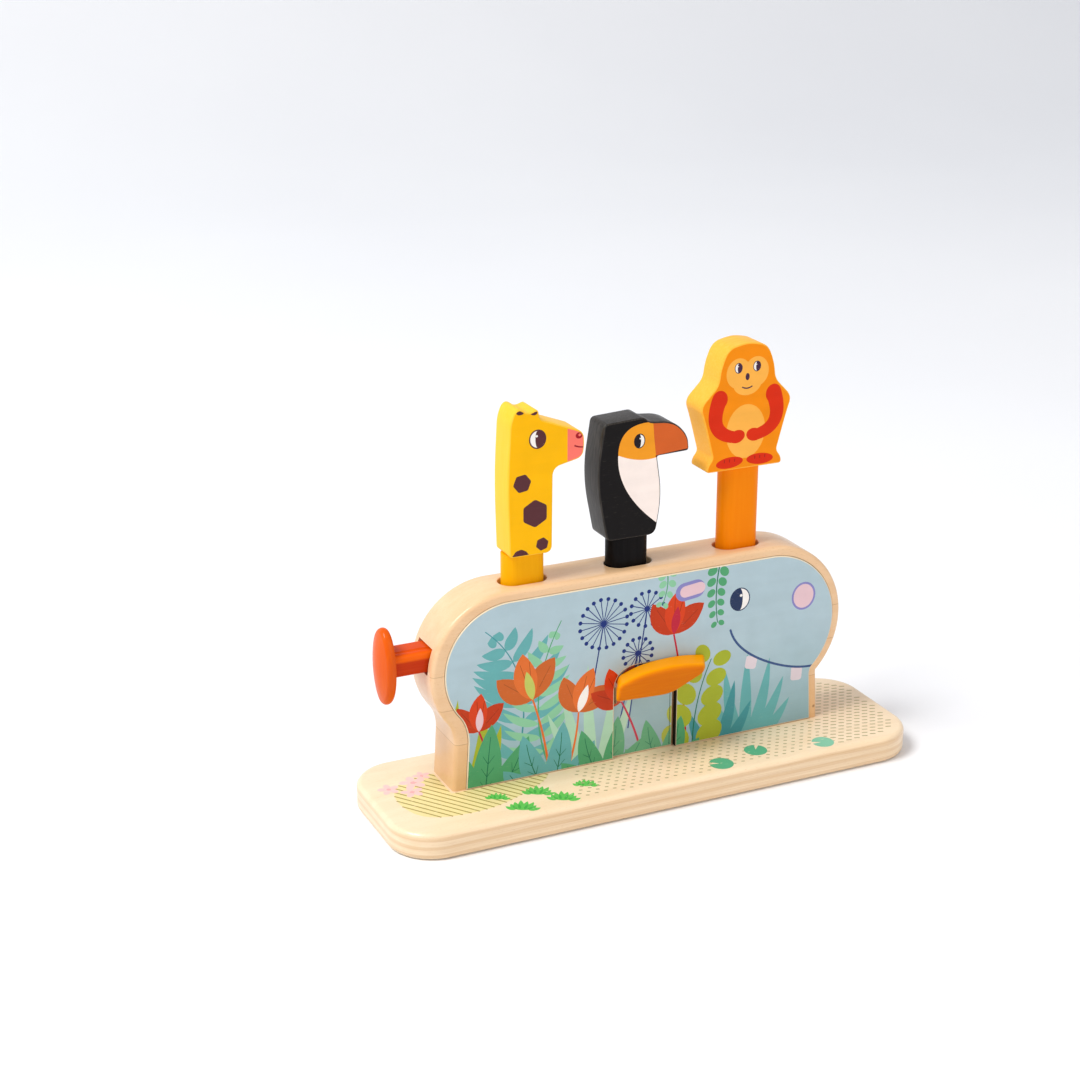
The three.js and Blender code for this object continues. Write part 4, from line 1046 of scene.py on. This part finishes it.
upright = (0, math.pi / 2, 0)
paddle_gap, paddle_out = 0.6, 13
lever_root = panel_face + paddle_gap
# Painted light: the paddle's outer face is painted a darker amber as shade, so its top and rims read lighter,
# as if lit from above.
lever_face_painted_shade = ("Y", hippo["y"], lever_root + paddle_out - 2, lever_root + paddle_out - 0.3, (212, 110, 2))
# Painted light: the bar is painted bright orange in a band round z = 90.2 mm as a highlight on its front
# ridge, and darker red away from it as shade.
bar_ridge_painted_highlight = ("Z", 90.2, 1.2, 2.4, (188, 48, 2))
giraffe_stain = lacquer("giraffe_stain", (246, 192, 48), (252, 208, 84), 0.3, 0.08, upright)
giraffe_yellow = lacquer("giraffe_yellow", (238, 168, 0), (248, 186, 24), 0.25, 0.06, upright)
toucan_stain = lacquer("toucan_stain", (40, 37, 35), (74, 69, 64), 0.5, 0.3, upright)
toucan_black = lacquer("toucan_black", (14, 12, 13), (28, 26, 26), 0.3, 0.06, upright)
monkey_stain = lacquer("monkey_stain", (250, 176, 56), (254, 198, 92), 0.4, 0.08)
monkey_orange = lacquer("monkey_orange", (244, 132, 0), (250, 152, 20), 0.25, 0.06, upright)
button_red = lacquer("button_red", (217, 84, 2), (230, 110, 20), 0.25, 0.25, upright)
bar_red = lacquer("bar_red", (236, 98, 2), (222, 84, 6), 0.2, 0.15, deep=bar_ridge_painted_highlight)
lever_amber = lacquer("lever_amber", (242, 156, 0), (232, 140, 2), 0.2, 0.1, deep=lever_face_painted_shade)
print("lacquer film nodes:", len(film_group.nodes))

# %% [markdown]
# ## Animals
# Each animal is sawn from a board 17 mm thick, and its rims are just broken with a small bit. The
# outlines follow the solids' closely, with more points on each bend.

# %% Outlines of the animals
def from_shares(shares, x, z, width, height, mirrored=False):
    """Corners given as shares of the width and height, with the reach as a share of the height."""
    c = np.array(shares, float)
    corners = np.stack([x + c[:, 0] * width, z + c[:, 1] * height, c[:, 2] * height], 1)
    if mirrored:
        other = corners[::-1] * [-1, 1, 1] + [2 * x, 0, 0]
        corners = np.concatenate([corners, other])
    return rounded(corners, 14)

monkey_x = 59.6
giraffe_outline = from_shares([
    [0.004, 0, 0.03], [0.572, 0, 0.05], [0.582, 0.584, 0.06], [0.975, 0.63, 0.05], [1.004, 0.71, 0.05],
    [0.99, 0.806, 0.05], [0.408, 0.925, 0.03], [0.385, 1, 0.03], [0.245, 0.972, 0.04], [0.15, 1.015, 0.035],
    [0.08, 0.998, 0.03], [0.02, 0.92, 0.06], [-0.022, 0.5, 0.3]], x=-73.8, z=134.2, width=41.1, height=76)
toucan_outline = from_shares([
    [0.115, 0, 0.05], [-0.012, 0.525, 0.6], [0.075, 0.99, 0.04], [0.5, 1.008, 0.03], [0.56, 0.962, 0.04],
    [0.83, 0.94, 0.12], [0.985, 0.81, 0.1], [1.002, 0.678, 0.03], [0.65, 0.667, 0.02], [0.712, 0.335, 0.3],
    [0.646, 0, 0.07]], x=-25.4, z=134.9, width=52, height=63)
monkey_outline = from_shares([
    [0.41, 0, 0.03], [0.403, 0.054, 0.03], [0.348, 0.112, 0.03], [0.45, 0.42, 0.12], [0.5, 0.535, 0.07],
    [0.313, 0.69, 0.05], [0.29, 0.83, 0.12], [0.215, 0.972, 0.13], [0.05, 1.003, 0.09]],
    x=monkey_x, z=163.4, width=54.4, height=66.8, mirrored=True)
animals = dict(
    giraffe=dict(outline=giraffe_outline, board=giraffe_stain, rod=giraffe_yellow, slot="yellow_lacquer",
                 peg_x=-63.2, foot=58.5, top=134.2),
    toucan=dict(outline=toucan_outline, board=toucan_stain, rod=toucan_black, slot="black_lacquer",
                peg_x=-4.4, foot=66.3, top=134.9),
    monkey=dict(outline=monkey_outline, board=monkey_stain, rod=monkey_orange, slot="orange_lacquer",
                peg_x=60.8, foot=100.1, top=163.4))

# %% Boards and pegs of the animals
for animal, a in animals.items():
    figure = board(f"{animal}_board", a["outline"], hippo["y"] - figure_thick / 2,
                   hippo["y"] + figure_thick / 2, figure_edge)
    dress(figure, a["board"], animal, a["slot"], f"{animal}_figure")
    inset, rise = quarter_rows(peg["edge"], 8)
    rows = np.stack([inset, a["foot"] + rise], 1).tolist() + [[0, a["top"]]]
    rod = post(f"{animal}_rod", stadium(a["peg_x"], hippo["y"], peg["length"], peg["depth"]), rows)
    dress(rod, a["rod"], animal, a["slot"], f"{animal}_peg")
    print(figure.name, len(figure.data.polygons), "faces, rod", len(rod.data.polygons))

# %% [markdown]
# ## Prints on the animals
# The flat faces of the boards carry the prints, front and back alike: the giraffe's patches and soft
# muzzle, the toucan's bib and big beak, and a plain face, arms and feet on the monkey.

# %% The giraffe's print
brown, muzzle, mouth_red = (90, 50, 55), (255, 124, 110), (150, 30, 44)
def hexagon(x, z, size, turn):
    a = np.arange(6) * math.pi / 3 + turn
    corner_reach = np.full(6, size * 0.16)
    return rounded(np.stack([x + size * np.cos(a), z + size * np.sin(a), corner_reach], 1), 6)

giraffe_print = [
    (rounded([[-42.1, 176, 0], [-28, 176, 0], [-28, 204, 0], [-42.1, 204, 0]]), muzzle),
    (hexagon(-66.8, 172.8, 5.0, 0.15), brown), (hexagon(-59.8, 156.2, 7.4, 0.52), brown),
    (hexagon(-55.9, 139.5, 3.6, 0.3), brown),
    (rounded([[-73.2, 134, 0], [-62.6, 134, 0], [-64.6, 136.9, 0.8], [-67.4, 138.3, 0.8],
              [-70.4, 137.6, 0.8]]), brown),
    (oval(-67.6, 209.6, 2.3, 1.5, 0.1), brown), (oval(-60.5, 208.6, 2.0, 1.4, -0.2), brown),
    (oval(-35.8, 193.7, 1.9, 1.6), (166, 28, 40)), (oval(-35.4, 194.0, 0.8, 0.7), muzzle),
    (stalk(((-38.3, 188.8), (-35.4, 187.2), (-31, 187.4)), 0.8, 0.6), mouth_red),
    *eye(-58.4, 194.7, 4.7, 5.0, brown, False, 0.7)]
print("giraffe", len(giraffe_print), "shapes")

# %% The toucan's print
bib = np.concatenate([bend((-13.9, 180), (-14.6, 160), (9.2, 140.8), 24),
                      bend((9.2, 140.8), (12.0, 156), (8.2, 177), 16)])
cheek = np.concatenate([bend((5.6, 195.4), (-13.6, 197), (-13.9, 180.2), 20),
                        bend((-13.9, 180.2), (-2, 174.6), (7.8, 176.4), 14)])
beak = np.array([[5.6, 196], [6.4, 186.8], [7.7, 176.2], [13, 175], [40, 175], [40, 205], [5.6, 205]])
toucan_print = [(bib, (255, 243, 236)), (cheek, (244, 158, 36)), (beak, (214, 100, 42)),
                (stalk(((7.4, 177.0), (16, 177.9), (26.4, 178.6)), 0.7, 0.5), (28, 26, 26)),
                *eye(-1.9, 186.3, 3.2, 3.9, (34, 28, 36), True, 0.5)]
print("toucan", len(toucan_print), "shapes")

# %% The monkey's print
coat, skin, dark_ink, toe_red = (220, 46, 14), (255, 184, 78), (70, 44, 70), (160, 34, 20)
def both_sides(*shapes):
    """The shapes and their mirror images across the monkey's middle."""
    return [*shapes, *[(shape * [-1, 1] + [2 * monkey_x, 0], colour) for shape, colour in shapes]]

monkey_print = [
    (oval(monkey_x, 183.5, 11.5, 14.5), skin),
    *both_sides((stalk(((43.6, 202), (36.5, 184), (53.5, 181)), 9.0, 6.2, 26), coat),
                (oval(43.8, 202.0, 4.6, 5.0), coat), (oval(54.6, 181.2, 4.6, 3.5, 0.2), coat),
                (oval(50.6, 167.6, 8.0, 3.0, 0.06), coat)),
    *both_sides((oval(54.4, 214.8, 7.2, 8.0), skin)),
    (oval(monkey_x, 209.4, 8.4, 6.6), skin), (oval(monkey_x, 212.6, 1.2, 1.9), dark_ink),
    (stalk(((56.6, 207.4), (monkey_x, 205.6), (62.6, 207.4)), 0.7, 0.7), dark_ink),
    *eye(54.2, 217.6, 2.3, 2.8, dark_ink, False, 0.4), *eye(65.0, 217.6, 2.3, 2.8, dark_ink, False, 0.4)]
for x in (47.6, 50.6, 53.6):
    monkey_print += both_sides((stalk(((x, 169.4), (x, 168.6), (x, 167.8)), 0.6, 0.4, 4), toe_red))
print("monkey", len(monkey_print), "shapes")

# %% Lay the prints on both faces
film_sunk = 0.01
prints = dict(giraffe=(giraffe_print, (255, 190, 0)), toucan=(toucan_print, (20, 18, 19)),
              monkey=(monkey_print, (248, 144, 6)))
for animal, (shapes, colour) in prints.items():
    region = drawn_in(animals[animal]["outline"], figure_edge * 0.9)
    for side, place in sides:
        film = printed_film(f"{animal}_{place}_print", region, shapes, colour,
                            on_side(side, figure_thick / 2 - film_sunk))
        dress(film, board_print, animal, animals[animal]["slot"])
    print(film.name, len(film.data.polygons), "faces")

# %% [markdown]
# ## Push button and its bar
# The button is a turned disc squeezed to an oval, thick in the middle and rounded at the rim, so it is a
# profile carried round an oval. Its bar is a rounded stick with a shallow groove along its top, and a
# leg at its far end drops down inside the block to push the wedge.

# %% The button
def oval_dome(name, x, y, z, half_y, half_z, rim_radius, rise):
    """Rows of [share of the oval, distance out from the inner face]: a half turn of the rim's radius,
    then a dome of rise (1 - share^2). The oval is y = half_y share cos(turn), z = half_z share sin(turn)."""
    turn = np.linspace(-math.pi / 2, math.pi / 2, 15)
    full = half_z - rim_radius
    rim_part = np.stack([(full + rim_radius * np.cos(turn)) / half_z,
                         rim_radius + rim_radius * np.sin(turn)], 1)
    share = np.linspace(1, 0, 16)[1:]
    dome = np.stack([share * full / half_z, 2 * rim_radius + rise * (1 - share ** 2)], 1)
    rows = np.concatenate([[[0, 0]], rim_part, dome])
    around = np.linspace(0, 2 * math.pi, 72, endpoint=False)[None, :]
    part, out = rows[:, :1], rows[:, 1:]
    grid = [x - out + 0 * around, y + half_y * part * np.cos(around), z + half_z * part * np.sin(around)]
    return shell(name, np.stack(grid, -1), 50)

button = oval_dome("tail_button", x=-135.8, y=hippo["y"], z=84.6, half_y=11.3, half_z=20.5, rim_radius=2.6,
                   rise=2.2)
dress(button, button_red, "button", "red_lacquer", "push_button")
print("button", len(button.data.polygons), "faces")

# %% The bar and its leg
bar_start, leg_start, bar_end, bar_width = -135.9, -104, -97, (1.3, 17.3)
bar_section = rounded([[1.3, 79.8, 4], [17.3, 79.8, 4], [17.3, 92.2, 3], [6.6, 92.2, 0.5], [5.8, 90.6, 0.4],
                       [4.9, 92.2, 1.2], [1.3, 91.6, 4.6]])
bar = shell("tail_bar", np.stack([np.insert(bar_section, 0, x, axis=1) for x in (bar_start, bar_end)]), 50)
dress(bar, bar_red, "button", "red_lacquer", "push_bar")
leg = box("tail_leg", leg_start, bar_end, *bar_width, 24.3, 86)
dress(leg, bar_red, "button", "red_lacquer")
print("bar", len(bar.data.polygons), "faces, leg", len(leg.data.polygons))

# %% [markdown]
# ## Lever paddles
# A paddle stands out of each side, rounded like a fish and swept back to the tail the further it stands
# out. Its rims are rounded so wide that points at its narrow nose would cross if they were drawn in
# along their normals, as a board's are. So each level is the whole outline made smaller about its middle.

# %% The paddles
paddle_outline = from_shares([
    [0, 0.1, 0.14], [0.62, 0.005, 0.4], [1, 0.6, 0.13], [1, 0.85, 0.13], [0.7, 1.01, 0.9], [0.29, 0.95, 0.9],
    [0.028, 0.66, 0.14]], x=-16.9, z=52, width=52.2, height=16)
swept_back = 6.5
def paddle_board(name, side, root_edge=0.8, edge=3.0):
    """Levels of [inset, distance out]: middle + (outline - middle)(1 - inset / half its size), moved
    along x by the sweep times the distance out. The outer rim is rounded wide and the inner one small."""
    rows = rim_rows(0, paddle_out, root_edge, edge, 10)
    low, high = paddle_outline.min(0), paddle_outline.max(0)
    middle, half = (low + high) / 2, (high - low) / 2
    flat = middle + (paddle_outline - middle)[None] * (1 - rows[:, :1, None] / half)
    x = flat[..., 0] - swept_back / paddle_out * rows[:, 1:]
    y = hippo["y"] + side * (lever_root + rows[:, 1:]) + 0 * x
    return shell(name, np.stack([x, y, flat[..., 1]], -1), 50)

for side, place in sides:
    paddle = paddle_board(f"{place}_lever", side)
    dress(paddle, lever_amber, "rocker", "amber_lacquer", f"{place}_paddle")
print("paddle", len(paddle.data.polygons), "faces")

# %% [markdown]
# ## Spring
# The monkey stands on a wound steel spring. A curve object with a bevel would make the wire, but its
# frame can twist, so the wire is a ring carried along a helix, with the ring's axes worked out from
# the helix itself. The end turns lie close, as on a real compression spring. It rides with the plunger.

# %% The spring
def wound_wire(name, x, y, low, high, radius, wire, turns, steps=40, ring_sides=14):
    """Helix (radius cos a, radius sin a, rise), with slow rise over the first and last turn, and a ring
    wire (cos b out + sin b across) round each of its points."""
    share = np.linspace(0, 1, turns * steps + 1)
    end, close = 1 / turns, 2 * wire + 0.4
    free = high - low - 2 * wire - 2 * close
    rise = np.clip(share / end, 0, 1) * close + np.clip((share - 1 + end) / end, 0, 1) * close
    rise = rise + np.clip((share - end) / (1 - 2 * end), 0, 1) * free
    a = 2 * math.pi * turns * share
    path = np.stack([x + radius * np.cos(a), y + radius * np.sin(a), low + wire + rise], 1)
    along = np.gradient(path, axis=0)
    along /= np.linalg.norm(along, axis=1, keepdims=True)
    out = np.stack([np.cos(a), np.sin(a), 0 * a], 1)
    across = np.cross(along, out)
    across /= np.linalg.norm(across, axis=1, keepdims=True)
    out = np.cross(across, along)
    b = np.linspace(0, 2 * math.pi, ring_sides, endpoint=False)
    ring = np.cos(b)[None, :, None] * out[:, None] + np.sin(b)[None, :, None] * across[:, None]
    return shell(name, path[:, None] + wire * ring, 60)

def one_noise(name, scale, detail, edges, dark, light, rough, strength=None, depth=0.0002, **shader):
    """A plain finish from one noise: the colour goes from dark to light between the edges, and the
    roughness from 0 to 1 between the rough values."""
    made, tree, surface = material(name, **shader)
    fleck = noise(tree, scale, detail)
    coat_with(tree, surface, mix(tree, ramp(tree, fleck, *edges), dark, light), ramp(tree, fleck, *rough),
              fleck if strength else None, strength, depth)
    return made

spring_foot, spring_top, press_travel = 22, 88, 40
spring = wound_wire("wound_spring", bore_x["monkey"], hippo["y"], spring_foot, spring_top, radius=5.4,
                    wire=0.7, turns=11)
spring_steel = one_noise("spring_steel", (900, 900, 200), 3.0, (0.3, 0.7), (168, 170, 172), (206, 207, 208),
                         (-0.6, 2.4), 0.05, Metallic=1.0)
dress(spring, spring_steel, "monkey_lift", "spring_steel", "monkey_spring")
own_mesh(spring)
print("spring", len(spring.data.polygons), "faces")

# %% [markdown]
# ## Screws under the base
# Four countersunk screws come up through the base into the block. Each is a turned profile with the
# cross for the driver cut into its head, and a thread is left out because the wood hides it.

# %% The screws
screw_profile = [[0, 0.8], [3.9, 0.8], [4.2, 1.05], [2, 3.8], [2, 18], [0, 21]]
screw_steel = one_noise("screw_steel", (600, 600, 600), 4.0, (0.3, 0.7), (190, 184, 160), (222, 218, 200),
                        (-0.8, 2.2), 0.06, Metallic=1.0)
for number, x in enumerate(screw_x, 1):
    screw = turned(f"countersunk_screw_{number}", screw_profile, x)
    cut(screw, box("tool", x - 2.3, x + 2.3, 8.8, 9.8, -1, 2.3),
        box("tool", x - 0.5, x + 0.5, 7, 11.6, -1, 2.3))
    dress(screw, screw_steel, "toy", "screw_steel", f"base_screw_{number}")
print("screws at x", screw_x)

# %% [markdown]
# ## The works inside
# The wedge, axle, kicker arm, lifter, plungers and pads have the right shape as solids and are hardly
# seen, so they keep their meshes and get finishes: bare wood, and pressed wool felt for the pads.

# %% Finishes of the works
bare_wood, tree, surface = material("bare_wood", IOR=1.45)
figure = grained(tree, (236, 206, 160), (206, 164, 112), (160, 112, 70), 0.7, 0.5)
coat_with(tree, surface, figure["Color"], ramp(tree, figure["Height"], -1.0, 1.6), figure["Height"], 0.25)
felt = one_noise("pressed_felt", (1600, 1600, 1600), 5.0, (0.35, 0.65), (120, 122, 124), (162, 163, 164),
                 (-2.0, 1.0), 0.6, 0.0004, Sheen_Weight=0.4, Sheen_Roughness=0.5)
works = {name: bare_wood for name in ("push_wedge", "rocker_axle", "kicker_arm", "giraffe_lifter",
                                      "toucan_plunger", "monkey_plunger", "spring_seat")}
works.update({name: felt for name in ("giraffe_pad", "toucan_pad", "monkey_pad")})
for name, look in works.items():
    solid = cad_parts[name]
    solid.data.materials.clear()
    solid.data.materials.append(look)
print(len(works), "solids finished as they are")

# %% [markdown]
# ## Floor, light and camera
# The toy stands on a pale floor that curves up behind it, under the soft light of a studio: a large
# light high on the left, a weaker and warmer one from the right and front, and a pale room all round.
# The camera stands where the toy's straight edges show that it stood for the photograph.

# %% The floor
near, sweep_start, wall, sweep_top, wall_top = -4000, 1500, 2600, 1100, 4200
curve = np.concatenate([[[near, 0], [sweep_start, 0]],
                        bend((sweep_start, 0), (wall, 0), (wall, sweep_top), 24), [[wall, wall_top]]])
wide = np.array([[-4500.0, 4500.0]])
y, z = curve[:, :1] + 0 * wide, curve[:, 1:] + 0 * wide
index = np.arange(len(curve) * 2).reshape(-1, 2)
quads = np.stack([index[:-1, 0], index[:-1, 1], index[1:, 1], index[1:, 0]], -1)
mesh = bpy.data.meshes.new("pale_floor")
mesh.from_pydata((np.stack([wide + 0 * y, y, z], -1).reshape(-1, 3) * mm).tolist(), [], quads.tolist())
mesh.shade_smooth()
floor = linked("pale_floor", mesh)
pale_paper = one_noise("pale_paper", (2, 2, 2), 2.0, (0.0, 1.0), (236, 237, 240), (242, 243, 245),
                       (-3.0, 1.4), IOR=1.4)
floor.data.materials.append(pale_paper)
print("floor of", len(mesh.polygons), "faces")

# %% Lights
def soft_light(name, place, size, watts, colour):
    """A round lamp of a size in metres that points at the toy."""
    lamp = bpy.data.lights.new(name, "AREA")
    lamp.shape, lamp.size, lamp.energy, lamp.color = "DISK", size, watts, colour
    made = linked(name, lamp)
    made.location = place
    made.rotation_euler = (Vector((0, 0, 0.1)) - Vector(place)).to_track_quat("-Z", "Y").to_euler()
    return made

soft_light("window_light", (-1.9, -0.1, 2.8), 1.5, 90, (1.0, 1.0, 0.98))
soft_light("front_light", (0.9, -1.9, 1.0), 1.6, 9.5, (1.0, 0.74, 0.52))
room = bpy.data.worlds.new("pale_room")
room.use_nodes = True
room.node_tree.nodes["Background"].inputs["Color"].default_value = (0.93, 0.95, 1.0, 1)
room.node_tree.nodes["Background"].inputs["Strength"].default_value = 0.62
bpy.context.scene.world = room
bpy.context.scene.view_settings.view_transform = "Standard"
print("lights:", len(bpy.data.lights))

# %% Camera
lens = bpy.data.cameras.new("photo_camera")
lens.lens, lens.sensor_width = 68.78, 36
lens.clip_start, lens.clip_end = 0.05, 60
camera = linked("photo_camera", lens)
back = Vector((-0.3940, -0.8516, 0.3458))
camera.location = (-0.46341, -0.87740, 0.49840)
camera.rotation_mode = "QUATERNION"
camera.rotation_quaternion = (-back).to_track_quat("-Z", "Y")
bpy.context.scene.camera = camera
print("camera", round(camera.location.length, 3), "m from the middle of the base")
